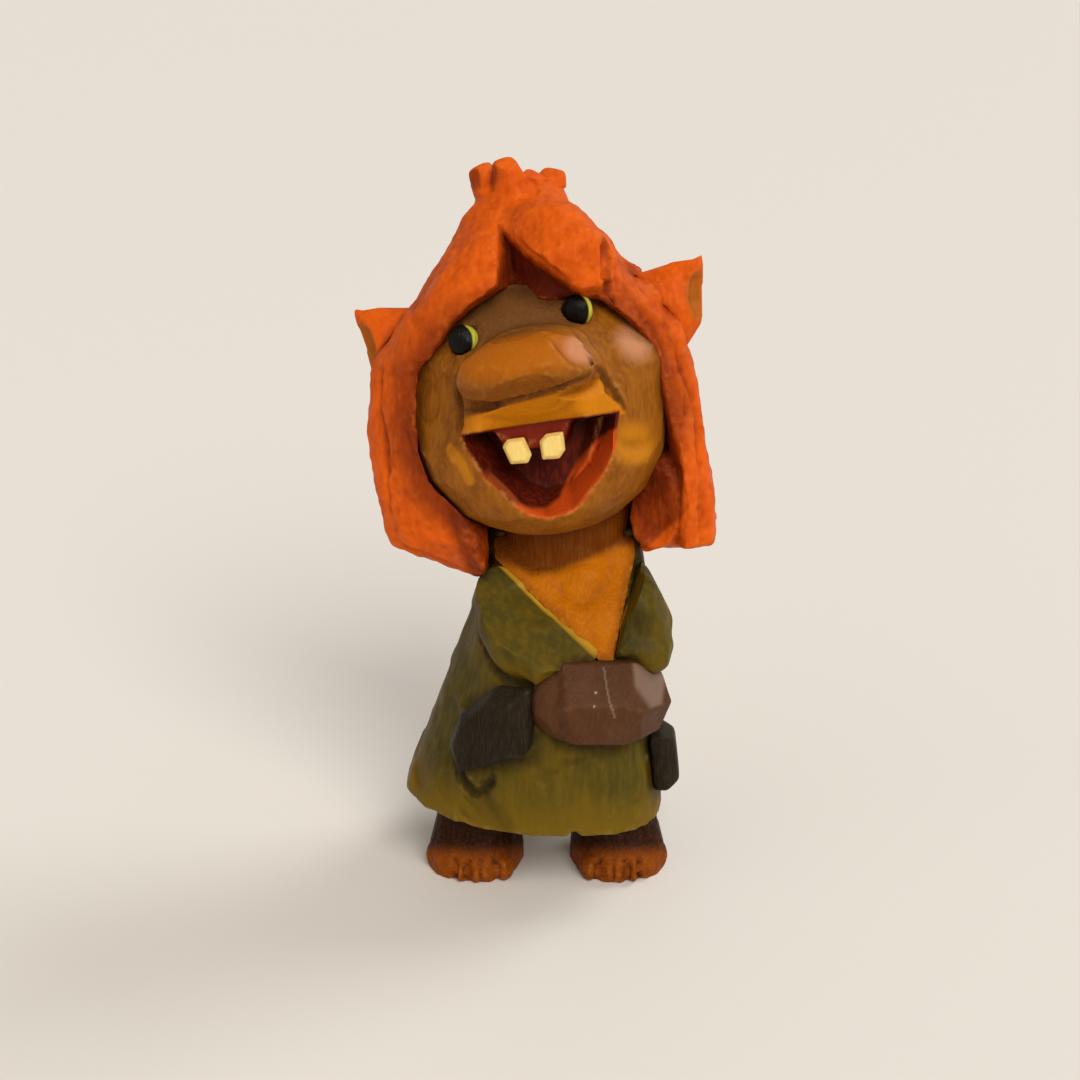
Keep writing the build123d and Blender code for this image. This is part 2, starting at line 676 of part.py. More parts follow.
def hair_blank():
    """The bell of hair with the bang, the parting and the grooves between the locks."""
    block = join(bell(hair_stations(), HAIR_SIDES, HAIR_CORNERS), bang_blank())
    return trim(block, parting_tool(), face_window(), *lock_grooves())


def neck_room():
    """The hollow in the hair that leaves the neck clear in front and at the sides."""
    half = NECK_HALF_WIDTH + HAIR_NECK_ROOM
    back = NECK_HALF_DEPTH / 2
    low = (COLLAR_HEIGHT - NECK_ROOT, half, half, KNIFE / 2, back, NECK_X)
    high = (COLLAR_HEIGHT + NECK_LENGTH, half, half, KNIFE / 2, back, NECK_X)
    return bell([low, high], NECK_SIDES, (4, 4, 4))


def tuft_blank():
    """The crown of blunt spikes on top of the cap."""
    base = HAIR_TOP - TUFT_SUNK
    core = [(TUFT_X, 0.67 * TUFT_BACK, base), (TUFT_X, TUFT_BACK, HAIR_TOP + TUFT_CORE)]
    forms = [limb(core, [TUFT_ROUND * 1.15, TUFT_ROUND * 0.8], 9)]
    for k in range(TUFT_SPIKES):
        angle = radians(360 * k / TUFT_SPIKES - 100)
        out = Vector(TUFT_ROUND * cos(angle), TUFT_ROUND * sin(angle), 0)
        foot = Vector(TUFT_X, TUFT_BACK, HAIR_TOP - TUFT_SUNK / 2) + out * 0.5
        tip = Vector(TUFT_X, TUFT_BACK, HAIR_TOP + TUFT_HEIGHT * (0.72 if k % 2 else 0.95)) + out * 0.95
        forms.append(limb([foot, foot + (tip - foot) * 0.6, tip],
                          [SPIKE_ROUND, SPIKE_ROUND * 0.95, SPIKE_ROUND * 0.6], 6))
    return join(*forms)


def ear_blank(side, reach):
    """A pointed cup of an ear, opening outwards; side is -1 right and 1 left."""
    rings = []
    for inward, rise, tall, deep in ((1.0, 0.41, 0.5, 0.5), (0.41, 0.48, 0.5, 0.48), (0.12, 0.61, 0.36, 0.34),
                                     (0.0, 0.93, 0.06, 0.1)):
        ring = []
        for i in range(10):
            angle = radians(36 * i)
            y = EAR_BACK + EAR_DEPTH * deep * cos(angle)
            z = EAR_HEIGHT * (rise + tall * sin(angle))
            ring.append(Vector(side * (reach - inward * EAR_ROOT), y, z))
        rings.append(ring if side > 0 else ring[::-1])
    hollow = (side * (reach + EAR_CUP / 6), EAR_BACK - 0.3 * EAR_DEPTH, 0.52 * EAR_HEIGHT)
    cup = egg(hollow, (EAR_CUP, 0.35 * EAR_DEPTH, 0.34 * EAR_HEIGHT), 10, 5)
    return trim(carved(rings), cup)


def head_pieces(frame):
    """The head's pieces and pegs, placed by the head's frame."""
    eyes = []
    teeth = []
    for side in (-1, 1):
        eyes.append(eye_blank(side))
        teeth.append(tooth_blank(side))
    face = trim(head_blank(), *eyes, *teeth)
    hair = trim(hair_blank(), face, *eyes)
    tuft = trim(tuft_blank(), hair, face)
    reaches = {-1: HAIR_TEMPLE * HAIR_RIGHT + RIGHT_EAR_PROUD, 1: HAIR_TEMPLE * HAIR_LEFT + LEFT_EAR_PROUD}
    ears = []
    ear_lines = []
    for side, reach in reaches.items():
        ears.append(trim(ear_blank(side, reach), hair, face))
        end = Vector(side * (reach - EAR_PEG_INSET), EAR_BACK + EAR_DEPTH / 9, 0.41 * EAR_HEIGHT)
        ear_lines.append((end - Vector(side * EAR_PEG_LENGTH, 0, 0), end))
    crown = Vector(TUFT_X, TUFT_BACK, HAIR_TOP + TUFT_PEG_RISE)
    tuft_line = (crown - Vector(0, 0, TUFT_PEG_LENGTH), crown)
    ear_holes = [hole(line, EAR_PEG) for line in ear_lines]
    tuft_hole = hole(tuft_line, TUFT_PEG)
    pieces = {
        "head_block": trim(face, tuft_hole, *ear_holes),
        "hair_cap": trim(hair, tuft_hole, *ear_holes),
        "hair_tuft": trim(tuft, tuft_hole),
        "ear_right": trim(ears[0], ear_holes[0]),
        "ear_left": trim(ears[1], ear_holes[1]),
        "eye_right": eyes[0],
        "eye_left": eyes[1],
        "tooth_right": teeth[0],
        "tooth_left": teeth[1],
        "tuft_peg": rod(tuft_line, TUFT_PEG),
        "ear_pegs": Compound([rod(line, EAR_PEG) for line in ear_lines]),
    }
    return {name: frame * piece for name, piece in pieces.items()}


def build():
    """Every piece by its name, in the figure's frame before it is centred."""
    shirt = shirt_blank()
    coat = trim(coat_blank(), shirt, neckline())
    shoulder_right = SHOULDER_IN - COLLAR_RIGHT
    shoulder_left = COLLAR_LEFT - SHOULDER_IN
    sleeve_right = trim(sleeve_blank(shoulder_right, -1, RIGHT_CUFF_SUNK), coat, shirt, neckline())
    sleeve_left = trim(sleeve_blank(shoulder_left, 1, LEFT_CUFF_SUNK), coat, shirt, neckline())
    muff = trim(muff_blank(), coat, shirt, sleeve_right, sleeve_left)
    planes = {-1: pouch_plane(RIGHT_POUCH_ANGLE, RIGHT_POUCH_RISE),
              1: pouch_plane(LEFT_POUCH_ANGLE, LEFT_POUCH_RISE)}
    pouches = []
    pouch_lines = []
    for side, plane in planes.items():
        pouches.append(trim(pouch_blank(plane, side), coat, muff, sleeve_right, sleeve_left))
        end = plane.origin + plane.z_dir * POUCH_PROUD * 0.4
        pouch_lines.append((end - plane.z_dir * POUCH_PEG_LENGTH, end))
    feet = []
    leg_lines = []
    for side in (-1, 1):
        ankle = Vector(STANCE_X + side * FOOT_SPACING / 2, -STANCE_FRONT, 0)
        feet.append(Pos(ankle) * Rot(0, 0, side * FOOT_SPLAY) * foot_blank(side))
        joint = ankle + Vector(0, 0, HEM_HEIGHT)
        reach = Vector(0, 0, LEG_DOWEL_HALF)
        leg_lines.append((joint - reach, joint + reach))

    throat = Vector(NECK_X, 0, COLLAR_HEIGHT)
    skull = throat + Vector(-NECK_DOWEL_LEAN, 0, NECK_LENGTH + NECK_DOWEL_UP)
    neck_line = (throat - Vector(0, 0, NECK_DOWEL_DOWN), skull)
    palm = Vector(MUFF_X, -BELLY_FRONT, COLLAR_HEIGHT - MUFF_DROP)
    muff_line = (palm + Vector(0, MUFF_DOWEL_LENGTH, 0), palm)
    arm_lines = []
    for side, shoulder_x in ((-1, shoulder_right), (1, shoulder_left)):
        end = Vector(shoulder_x + side * ARM_DOWEL_OUT, ARM_DOWEL_BACK - ELBOW_FRONT,
                     COLLAR_HEIGHT - ELBOW_DROP + ARM_DOWEL_RISE)
        aim = Vector(0.6 * side, -0.7, 0.4).normalized()
        arm_lines.append((end - aim * ARM_DOWEL_LENGTH, end))

    neck_hole = hole(neck_line, NECK_DOWEL)
    muff_hole = hole(muff_line, MUFF_DOWEL)
    leg_holes = [hole(line, LEG_DOWEL) for line in leg_lines]
    arm_holes = [hole(line, ARM_DOWEL) for line in arm_lines]
    pouch_holes = [hole(line, POUCH_PEG) for line in pouch_lines]
    pieces = {
        "coat_body": trim(coat, neck_hole, muff_hole, *leg_holes, *arm_holes, *pouch_holes),
        "shirt_front": trim(shirt, neck_hole, muff_hole, *arm_holes),
        "sleeve_right": trim(sleeve_right, arm_holes[0]),
        "sleeve_left": trim(sleeve_left, arm_holes[1]),
        "hand_muff": trim(muff, muff_hole),
        "pouch_right": trim(pouches[0], pouch_holes[0]),
        "pouch_left": trim(pouches[1], pouch_holes[1]),
        "foot_right": trim(feet[0], leg_holes[0]),
        "foot_left": trim(feet[1], leg_holes[1]),
        "neck_dowel": rod(neck_line, NECK_DOWEL),
        "muff_dowel": rod(muff_line, MUFF_DOWEL),
        "leg_dowels": Compound([rod(line, LEG_DOWEL) for line in leg_lines]),
        "sleeve_dowels": Compound([rod(line, ARM_DOWEL) for line in arm_lines]),
        "pouch_pegs": Compound([rod(line, POUCH_PEG) for line in pouch_lines]),
    }
    pieces.update(head_pieces(head_frame()))
    pieces["head_block"] = trim(pieces["head_block"], shirt, coat, neck_hole)
    pieces["hair_cap"] = trim(pieces["hair_cap"], neck_room(), coat, shirt, sleeve_right, sleeve_left)
    return pieces


def main():
    pieces = build()
    box = Compound(list(pieces.values())).bounding_box()
    shift = Pos(-(box.min.X + box.max.X) / 2, -(box.min.Y + box.max.Y) / 2, 0)
    print("shift", shift.position, "size", box.size)
    os.makedirs("parts", exist_ok=True)
    for name, piece in pieces.items():
        export_step(shift * piece, f"parts/{name}.step")


if __name__ == "__main__":
    main()
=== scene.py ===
"""Dresses the carved troll figure: each visible carving gets its knife work and its paint."""
import logging
import math
from collections.abc import Callable
from dataclasses import dataclass
from enum import Enum

import bmesh
import bpy
import numpy as np
from mathutils import Euler, Matrix, Vector, noise
from mathutils.bvhtree import BVHTree


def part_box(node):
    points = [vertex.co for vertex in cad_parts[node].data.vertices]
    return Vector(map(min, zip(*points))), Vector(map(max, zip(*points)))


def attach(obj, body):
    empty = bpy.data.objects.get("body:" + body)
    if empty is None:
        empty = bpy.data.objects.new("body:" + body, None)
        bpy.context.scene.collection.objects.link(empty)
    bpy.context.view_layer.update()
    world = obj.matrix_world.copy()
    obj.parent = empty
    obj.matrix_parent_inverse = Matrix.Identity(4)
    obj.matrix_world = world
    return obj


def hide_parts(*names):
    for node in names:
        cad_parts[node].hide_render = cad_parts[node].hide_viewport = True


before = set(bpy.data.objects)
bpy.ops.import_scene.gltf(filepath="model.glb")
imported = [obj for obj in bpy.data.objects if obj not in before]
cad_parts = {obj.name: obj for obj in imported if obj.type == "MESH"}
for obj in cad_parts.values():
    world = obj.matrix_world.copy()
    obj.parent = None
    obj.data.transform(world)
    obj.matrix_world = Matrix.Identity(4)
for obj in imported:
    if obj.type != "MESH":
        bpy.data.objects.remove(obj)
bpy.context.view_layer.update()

LOG = logging.getLogger("troll_figure")
MM = 0.001
WELD = 0.005
NUDGE = 1e-6
Triple = tuple[float, float, float]
Line = tuple[tuple[float, float], ...]


def fade(low: float, high: float, value: np.ndarray) -> np.ndarray:
    """A smooth step from 0 at low to 1 at high."""
    share = np.clip((value - low) / (high - low), 0.0, 1.0)
    return share * share * (3.0 - 2.0 * share)


def outline_gap(spots: np.ndarray, corners: np.ndarray) -> np.ndarray:
    """Measures how far flat spots are from a closed outline.

    Args:
        spots: the spots, one row each, in the outline's two axes.
        corners: the outline's corners in order.

    Returns:
        The distance of each spot from the outline, negative inside it.
    """
    gap = np.full(len(spots), np.inf)
    inside = np.zeros(len(spots), bool)
    for start, end in zip(corners, np.roll(corners, -1, axis=0)):
        run = end - start
        share = np.clip(((spots - start) @ run) / (run @ run), 0.0, 1.0)
        gap = np.minimum(gap, np.linalg.norm(spots - start - share[:, None] * run, axis=1))
        level = (spots[:, 1] < start[1]) != (spots[:, 1] < end[1])
        rise = run[1] if abs(run[1]) > NUDGE else NUDGE
        inside ^= level & (spots[:, 0] < start[0] + (spots[:, 1] - start[1]) * run[0] / rise)
    return np.where(inside, -gap, gap)


@dataclass(frozen=True)
class Place:
    """A working frame in millimetres: its origin in the figure and its turns in degrees."""

    origin: Triple = (0.0, 0.0, 0.0)
    about_z: float = 0.0
    about_x: float = 0.0
    about_y: float = 0.0

    def matrix(self) -> Matrix:
        """Works out the way from this frame to the figure's.

        Returns:
            The matrix from this frame's millimetres to the figure's metres.
        """
        turn = Matrix.Rotation(math.radians(self.about_z), 4, 'Z')
        turn = turn @ Matrix.Rotation(math.radians(self.about_x), 4, 'X')
        turn = turn @ Matrix.Rotation(math.radians(self.about_y), 4, 'Y')
        return Matrix.Scale(MM, 4) @ Matrix.Translation(self.origin) @ turn


class Side(Enum):
    """The figure's two sides and the way that each lies across the front."""

    RIGHT = -1.0
    LEFT = 1.0

    def node(self, piece: str) -> str:
        """The node of a paired piece on this side."""
        return f"{piece}_{self.name.lower()}"


@dataclass(frozen=True)
class Egg:
    """A round place on a piece: its middle and its three half sizes."""

    centre: Triple
    radii: Triple

    def gap(self, points: np.ndarray) -> np.ndarray:
        """How far points lie from the middle, counted in half sizes."""
        return np.linalg.norm((points - np.array(self.centre)) / np.array(self.radii), axis=1)


@dataclass(frozen=True)
class Lump(Egg):
    """An egg of added wood, with its turns about the three axes in degrees."""

    turn: Triple = (0.0, 0.0, 0.0)


@dataclass(frozen=True)
class Dent(Egg):
    """A soft dent, or a bump where its depth is negative."""

    depth: float


@dataclass(frozen=True)
class Mark(Egg):
    """A round painted mark, its edge as soft as that share of its size."""

    soft: float = 0.3


@dataclass(frozen=True)
class Patch:
    """A painted patch: its outline as the front shows it, its soft edge and how well it covers."""

    outline: Line
    soft: float
    cover: float = 1.0


@dataclass(frozen=True)
class Flat:
    """A knife plane: a point on it, its outward direction and how far the cut goes."""

    point: Triple
    normal: Triple
    reach: float


@dataclass(frozen=True)
class Groove:
    """A cut along a line on the front, or a ridge where its depth is negative.

    It has a half width, runs out over a share of the line at both ends, and may hold painted shade with a
    cover and a half width of its own.
    """

    line: Line
    width: float
    depth: float
    ends: float = 0.35
    shade: float = 0.0
    shade_width: float = 0.0


@dataclass(frozen=True)
class Chips:
    """Small knife flats: how many are tried, their largest radius, their depth and their seed."""

    count: int
    reach: float
    bite: float
    seed: int


FIGURE = Place()
HEAD = Place(origin=(1.136, 4.326, 133.5), about_z=-6.0, about_x=-14.0, about_y=-10.0)


class Carving:
    """One carved piece: a node's copy, roughed out in small voxels, cut and then painted."""

    # How finely a lump is divided, and the share of the way that one smoothing round moves a point.
    LUMP_CUTS = 4
    SMOOTHING = 0.5
    # How many voxels off a line the skin may lie, how sharp a groove is, and what is left of it at its ends.
    LINE_REACH = 1.5
    GROOVE_SHAPE = 1.3
    GROOVE_END = 0.02
    # The share of a cut or a line that keeps its full strength.
    FLAT_CORE = 0.7
    CHIP_CORE = 0.75
    LINE_CORE = 0.4
    # A chip is left out where the skin turns more than this, or stands higher than so many bites.
    CHIP_CALM = 0.75
    CHIP_STEEP = 1.5
    # How far the skin is turned to the front where a patch starts and where it shows in full.
    FACING = (-0.1, 0.25)

    def __init__(self, node: str, place: Place, voxel: float) -> None:
        """Takes a copy of the node.

        Args:
            node: the node that this carving stands for.
            place: the frame that its cuts are given in.
            voxel: the size of the rough-out, in millimetres.
        """
        self.node = node
        self.place = place
        self.voxel = voxel
        self.masks: dict[str, np.ndarray] = {}
        self.block = bmesh.new()
        self.block.from_mesh(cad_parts[node].data)
        self.block.transform(place.matrix().inverted())
        bmesh.ops.remove_doubles(self.block, verts=self.block.verts, dist=WELD)
        self.mesh: bpy.types.Mesh
        self.points: np.ndarray
        self.edges: np.ndarray

    @property
    def across(self) -> np.ndarray:
        """Each point's place across the front, open to changes."""
        return self.points[:, 0]

    @property
    def deep(self) -> np.ndarray:
        """Each point's depth behind the front, open to changes."""
        return self.points[:, 1]

    @property
    def up(self) -> np.ndarray:
        """Each point's height, open to changes."""
        return self.points[:, 2]

    @property
    def front(self) -> np.ndarray:
        """The points as the front shows them."""
        return self.points[:, [0, 2]]

    def clay(self, *lumps: Lump) -> None:
        """Adds lumps of wood before the rough-out.

        Args:
            lumps: the eggs to add.
        """
        for lump in lumps:
            spin = Euler([math.radians(angle) for angle in lump.turn])
            spot = Matrix.LocRotScale(Vector(lump.centre), spin, Vector(lump.radii))
            bmesh.ops.create_icosphere(self.block, subdivisions=self.LUMP_CUTS, radius=1.0, matrix=spot)

    def rough_out(self, rounds: int) -> None:
        """Turns the block into one even skin and takes the steps off it.

        Args:
            rounds: how many times the skin is smoothed.
        """
        shape = bpy.data.meshes.new(self.node + "_block")
        self.block.to_mesh(shape)
        self.block.free()
        holder = bpy.data.objects.new(self.node + "_block", shape)
        bpy.context.scene.collection.objects.link(holder)
        remesh = holder.modifiers.new("rough", 'REMESH')
        remesh.mode = 'VOXEL'
        remesh.voxel_size = self.voxel
        graph = bpy.context.evaluated_depsgraph_get()
        self.mesh = bpy.data.meshes.new_from_object(holder.evaluated_get(graph))
        bpy.data.objects.remove(holder)
        bpy.data.meshes.remove(shape)
        self.fill_hollows()
        places = np.empty(3 * len(self.mesh.vertices))
        self.mesh.vertices.foreach_get("co", places)
        self.points = places.reshape(-1, 3)
        ends = np.empty(2 * len(self.mesh.edges), int)
        self.mesh.edges.foreach_get("vertices", ends)
        self.edges = ends.reshape(-1, 2)
        self.smooth(rounds)

    def fill_hollows(self) -> None:
        """Takes away the skins of closed hollows, so that only the outer skin is left."""
        skin = bmesh.new()
        skin.from_mesh(self.mesh)
        left = set(skin.verts)
        islands = []
        while left:
            island = [left.pop()]
            for corner in island:
                found = {edge.other_vert(corner) for edge in corner.link_edges} & left
                left -= found
                island.extend(found)
            islands.append(island)
        islands.sort(key=len)
        inner = [corner for island in islands[:-1] for corner in island]
        bmesh.ops.delete(skin, geom=inner, context='VERTS')
        skin.to_mesh(self.mesh)
        skin.free()

    def averaged(self, values: np.ndarray) -> np.ndarray:
        """Averages each point's neighbours, column by column.

        Args:
            values: one row per point.

        Returns:
            The means, one row per point.
        """
        first, second = self.edges.T
        count = len(self.points)
        total = np.empty_like(values)
        for column in range(values.shape[1]):
            row = values[:, column]
            total[:, column] = (np.bincount(first, row[second], count)
                                + np.bincount(second, row[first], count))
        return total / np.maximum(np.bincount(self.edges.ravel(), minlength=count), 1)[:, None]

    def smooth(self, rounds: int, where: np.ndarray | None = None) -> None:
        """Smooths the skin.

        Args:
            rounds: how many times.
            where: a mask of the points to smooth, or none for all of them.
        """
        hold = self.SMOOTHING if where is None else self.SMOOTHING * where[:, None]
        for _ in range(rounds):
            self.points += hold * (self.averaged(self.points) - self.points)

    def normals(self) -> np.ndarray:
        """Finds the outward direction at each point of the skin as it is now.

        Returns:
            The directions, one row per point.
        """
        self.mesh.vertices.foreach_set("co", self.points.ravel())
        self.mesh.update()
        flat = np.empty(3 * len(self.points))
        self.mesh.vertex_normals.foreach_get("vector", flat)
        return flat.reshape(-1, 3)

    def lay(self, line: Line) -> np.ndarray:
        """Lays a line on the skin as it is seen from the front.

        Args:
            line: the line's corners as the front shows them.

        Returns:
            Points of the skin along the line, about a voxel apart.
        """
        corners = np.array(line, float)
        runs = np.linalg.norm(np.diff(corners, axis=0), axis=1)
        way = np.concatenate([[0.0], np.cumsum(runs)])
        spots = np.arange(0.0, way[-1] + self.voxel, self.voxel)
        path = []
        for u, v in zip(np.interp(spots, way, corners[:, 0]), np.interp(spots, way, corners[:, 1])):
            gap = np.hypot(self.across - u, self.up - v)
            near = np.nonzero(gap < max(self.LINE_REACH * self.voxel, gap.min() + NUDGE))[0]
            path.append(self.points[near[np.argmin(self.deep[near])]])
        return np.array(path)

    def path_gap(self, path: np.ndarray, reach: float) -> tuple[np.ndarray, np.ndarray]:
        """Measures each point's distance from a path.

        Args:
            path: points along the path.
            reach: the distance past which a point counts as far away.

        Returns:
            The distance, and the share of the path's length at the nearest place.
        """
        gap = np.full(len(self.points), np.inf)
        share = np.zeros(len(self.points))
        low, high = path.min(axis=0) - reach, path.max(axis=0) + reach
        near = np.nonzero(((self.points > low) & (self.points < high)).all(axis=1))[0]
        if len(near):
            apart = np.linalg.norm(self.points[near, None] - path[None], axis=2)
            gap[near] = apart.min(axis=1)
            share[near] = apart.argmin(axis=1) / max(len(path) - 1, 1)
        return gap, share

    def stroke(self, *grooves: Groove) -> None:
        """Cuts grooves one after another.

        Args:
            grooves: the grooves to cut, or ridges to raise.
        """
        for groove in grooves:
            gap, share = self.path_gap(self.lay(groove.line), groove.width)
            cut = np.clip(1.0 - gap / groove.width, 0.0, 1.0) ** self.GROOVE_SHAPE
            cut *= (fade(0.0, groove.ends, share + self.GROOVE_END)
                    * fade(0.0, groove.ends, 1.0 + self.GROOVE_END - share))
            self.points -= self.normals() * (groove.depth * cut)[:, None]

    def press(self, *dents: Dent) -> None:
        """Sinks soft dents, or swells bumps where the depth is negative.

        Args:
            dents: the dents to sink.
        """
        for dent in dents:
            hold = 1.0 - fade(0.0, 1.0, dent.gap(self.points))
            self.points -= self.normals() * (dent.depth * hold)[:, None]

    def slice(self, *flats: Flat) -> None:
        """Cuts flat knife planes one after another.

        Args:
            flats: the planes.
        """
        for flat in flats:
            out = np.array(flat.normal) / np.linalg.norm(flat.normal)
            offset = self.points - np.array(flat.point)
            over = np.maximum(offset @ out, 0.0)
            hold = 1.0 - fade(self.FLAT_CORE * flat.reach, flat.reach, np.linalg.norm(offset, axis=1))
            self.points -= (over * hold)[:, None] * out

    def facets(self, chips: Chips) -> None:
        """Takes many small flats off the rounded places, as a knife leaves them.

        Args:
            chips: how many cuts there are, how large they are and where they fall.
        """
        rng = np.random.default_rng(chips.seed)
        normals = self.normals()
        for start in rng.integers(len(self.points), size=chips.count):
            offset = self.points - self.points[start]
            gap = np.linalg.norm(offset, axis=1)
            near = gap < chips.reach
            out = normals[near].mean(axis=0)
            length = np.linalg.norm(out)
            if length < self.CHIP_CALM:
                continue
            height = offset[near] @ (out / length)
            if height.max() > self.CHIP_STEEP * chips.bite:
                continue
            hold = 1.0 - fade(self.CHIP_CORE, 1.0, gap[near] / chips.reach)
            over = np.maximum(height + chips.bite, 0.0) * hold
            self.points[near] -= over[:, None] * (out / length)

    def ripple(self, size: float, depth: float) -> None:
        """Makes the skin slightly uneven, with bumps of one size."""
        wave = np.array([noise.noise(Vector(point)) for point in self.points / size])
        self.points += self.normals() * (depth * wave)[:, None]

    def egg_mask(self, mark: Mark) -> np.ndarray:
        """Marks the points inside an egg."""
        return 1.0 - fade(1.0 - mark.soft, 1.0 + mark.soft, mark.gap(self.points))

    def line_mask(self, line: Line, width: float) -> np.ndarray:
        """Marks the points within a width of a line on the front."""
        gap, _ = self.path_gap(self.lay(line), width)
        return 1.0 - fade(self.LINE_CORE * width, width, gap)

    def patch_mask(self, patch: Patch) -> np.ndarray:
        """Marks the points inside an outline that are turned to the front.

        Args:
            patch: the outline, its soft edge and how well it covers.

        Returns:
            The mask, one value per point.
        """
        gap = outline_gap(self.front, np.array(patch.outline, float))
        inside = 1.0 - fade(-patch.soft, patch.soft, gap)
        return patch.cover * (inside * fade(*self.FACING, -self.normals()[:, 1]))

    def relief_masks(self, rounds: int, scale: float = 0.3) -> None:
        """Marks hollows and edges by how far the skin stands from its smoothed self.

        Args:
            rounds: how many times the other skin is smoothed.
            scale: the distance that counts as a full hollow or edge.
        """
        calm = self.points.copy()
        for _ in range(rounds):
            calm += self.SMOOTHING * (self.averaged(calm) - calm)
        height = ((calm - self.points) * self.normals()).sum(axis=1) / scale
        self.masks["hollow"] = np.clip(height, 0.0, 1.0)
        self.masks["edge"] = np.clip(-height, 0.0, 1.0)

    def seam_mask(self, *neighbours: str, reach: float) -> None:
        """Marks where this piece meets its neighbours.

        Args:
            neighbours: the nodes that it may meet.
            reach: the distance over which the mark fades, in millimetres.
        """
        world = np.array(self.place.matrix())
        spots = self.points @ world[:3, :3].T + world[:3, 3]
        near = np.full(len(spots), reach * MM)
        for name in neighbours:
            low, high = (np.array(corner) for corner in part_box(name))
            close = np.nonzero(((spots > low - reach * MM) & (spots < high + reach * MM)).all(axis=1))[0]
            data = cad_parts[name].data
            tree = BVHTree.FromPolygons([corner.co for corner in data.vertices],
                                        [face.vertices for face in data.polygons])
            for index in close:
                gap = tree.find_nearest(spots[index], near[index])[3]
                if gap is not None:
                    near[index] = min(near[index], gap)
        self.masks["seam"] = 1.0 - near / (reach * MM)

    def finish(self, paint: bpy.types.Material) -> None:
        """Puts the carving in the figure.

        Args:
            paint: the material that it wears.
        """
        self.mesh.vertices.foreach_set("co", self.points.ravel())
        self.mesh.transform(self.place.matrix())
        for name, values in self.masks.items():
            layer = self.mesh.attributes.new(name, 'FLOAT', 'POINT')
            layer.data.foreach_set("value", np.clip(values, 0.0, 1.0).astype(np.float32))
        self.mesh.shade_smooth()
        self.mesh.materials.clear()
        self.mesh.materials.append(paint)
        self.mesh.name = self.node + "_carving"
        piece = bpy.data.objects.new(self.node + "_carving", self.mesh)
        bpy.context.scene.collection.objects.link(piece)
        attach(piece, "root")
        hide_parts(self.node)
        LOG.info("%s: %d faces", piece.name, len(self.mesh.polygons))


def linear(colour: Triple) -> tuple[float, float, float, float]:
    """Turns a colour in 0 to 255 screen values into what a node takes.

    Args:
        colour: red, green and blue as a screen shows them.

    Returns:
        The linear red, green and blue, and full cover.
    """
    parts = [part / 255.0 for part in colour]
    return (*(part / 12.92 if part <= 0.04045 else ((part + 0.055) / 1.055) ** 2.4 for part in parts), 1.0)


class Wiring:
    """Lays and links the nodes of one tree.

    A Mix node's colour sockets share their names with others, so they go by number.
    """

    MIX_SHARE, MIX_UNDER, MIX_OVER = 0, 6, 7
    MIX_RESULT = 2

    def __init__(self, tree: bpy.types.NodeTree) -> None:
        """Starts on a tree."""
        self.tree = tree

    def add(self, kind: str, feeds: dict[str, object] | None = None, **settings: object) -> bpy.types.Node:
        """Adds a node.

        Args:
            kind: the node's type.
            feeds: what goes into its inputs by name: a socket to link or a plain value.
            settings: the node's own settings.

        Returns:
            The node.
        """
        node = self.tree.nodes.new(kind)
        for name, value in settings.items():
            setattr(node, name, value)
        for name, value in (feeds or {}).items():
            self.feed(node.inputs[name], value)
        return node

    def feed(self, socket: bpy.types.NodeSocket, value: object) -> None:
        """Fills one input.

        Args:
            socket: the input.
            value: the socket to link it to, or a plain value to set.
        """
        if isinstance(value, bpy.types.NodeSocket):
            self.tree.links.new(value, socket)
        else:
            socket.default_value = value

    def math(self, operation: str, first: object, second: object) -> bpy.types.NodeSocket:
        """Works out one sum, held between 0 and 1.

        Args:
            operation: the kind of sum.
            first: its first value.
            second: its second value.

        Returns:
            The result's socket.
        """
        node = self.add('ShaderNodeMath', operation=operation, use_clamp=True)
        self.feed(node.inputs[0], first)
        self.feed(node.inputs[1], second)
        return node.outputs[0]

    def mix(self, share: object, under: object, over: object) -> bpy.types.NodeSocket:
        """Lays one colour over another.

        Args:
            share: how much of the upper colour shows.
            under: the lower colour.
            over: the upper colour.

        Returns:
            The result's socket.
        """
        node = self.add('ShaderNodeMix', data_type='RGBA')
        for index, value in ((self.MIX_SHARE, share), (self.MIX_UNDER, under), (self.MIX_OVER, over)):
            self.feed(node.inputs[index], value)
        return node.outputs[self.MIX_RESULT]

    def span(self, value: object, low: float, high: float, first: float = 0.0, last: float = 1.0
             ) -> bpy.types.NodeSocket:
        """Spreads a value from one range to another.

        Args:
            value: the value.
            low: the start of its own range.
            high: the end of its own range.
            first: what the start becomes.
            last: what the end becomes.

        Returns:
            The result's socket.
        """
        node = self.add('ShaderNodeMapRange', {"Value": value, "From Min": low, "From Max": high,
                                               "To Min": first, "To Max": last})
        return node.outputs[0]

    def mask(self, name: str) -> bpy.types.NodeSocket:
        """A mask that the piece carries."""
        return self.add('ShaderNodeAttribute', attribute_name=name).outputs["Fac"]

    def cloud(self, spot: object, scale: object, detail: float) -> bpy.types.NodeSocket:
        """A soft random pattern."""
        return self.add('ShaderNodeTexNoise', {"Vector": spot, "Scale": scale, "Detail": detail}).outputs[0]

    def effect(self, group: bpy.types.NodeTree, **feeds: object) -> bpy.types.NodeSocket:
        """Places one group.

        Args:
            group: the group.
            feeds: what goes into its inputs.

        Returns:
            The socket of its one result.
        """
        node = self.add('ShaderNodeGroup', node_tree=group)
        for name, value in feeds.items():
            self.feed(node.inputs[name], value)
        return node.outputs[0]


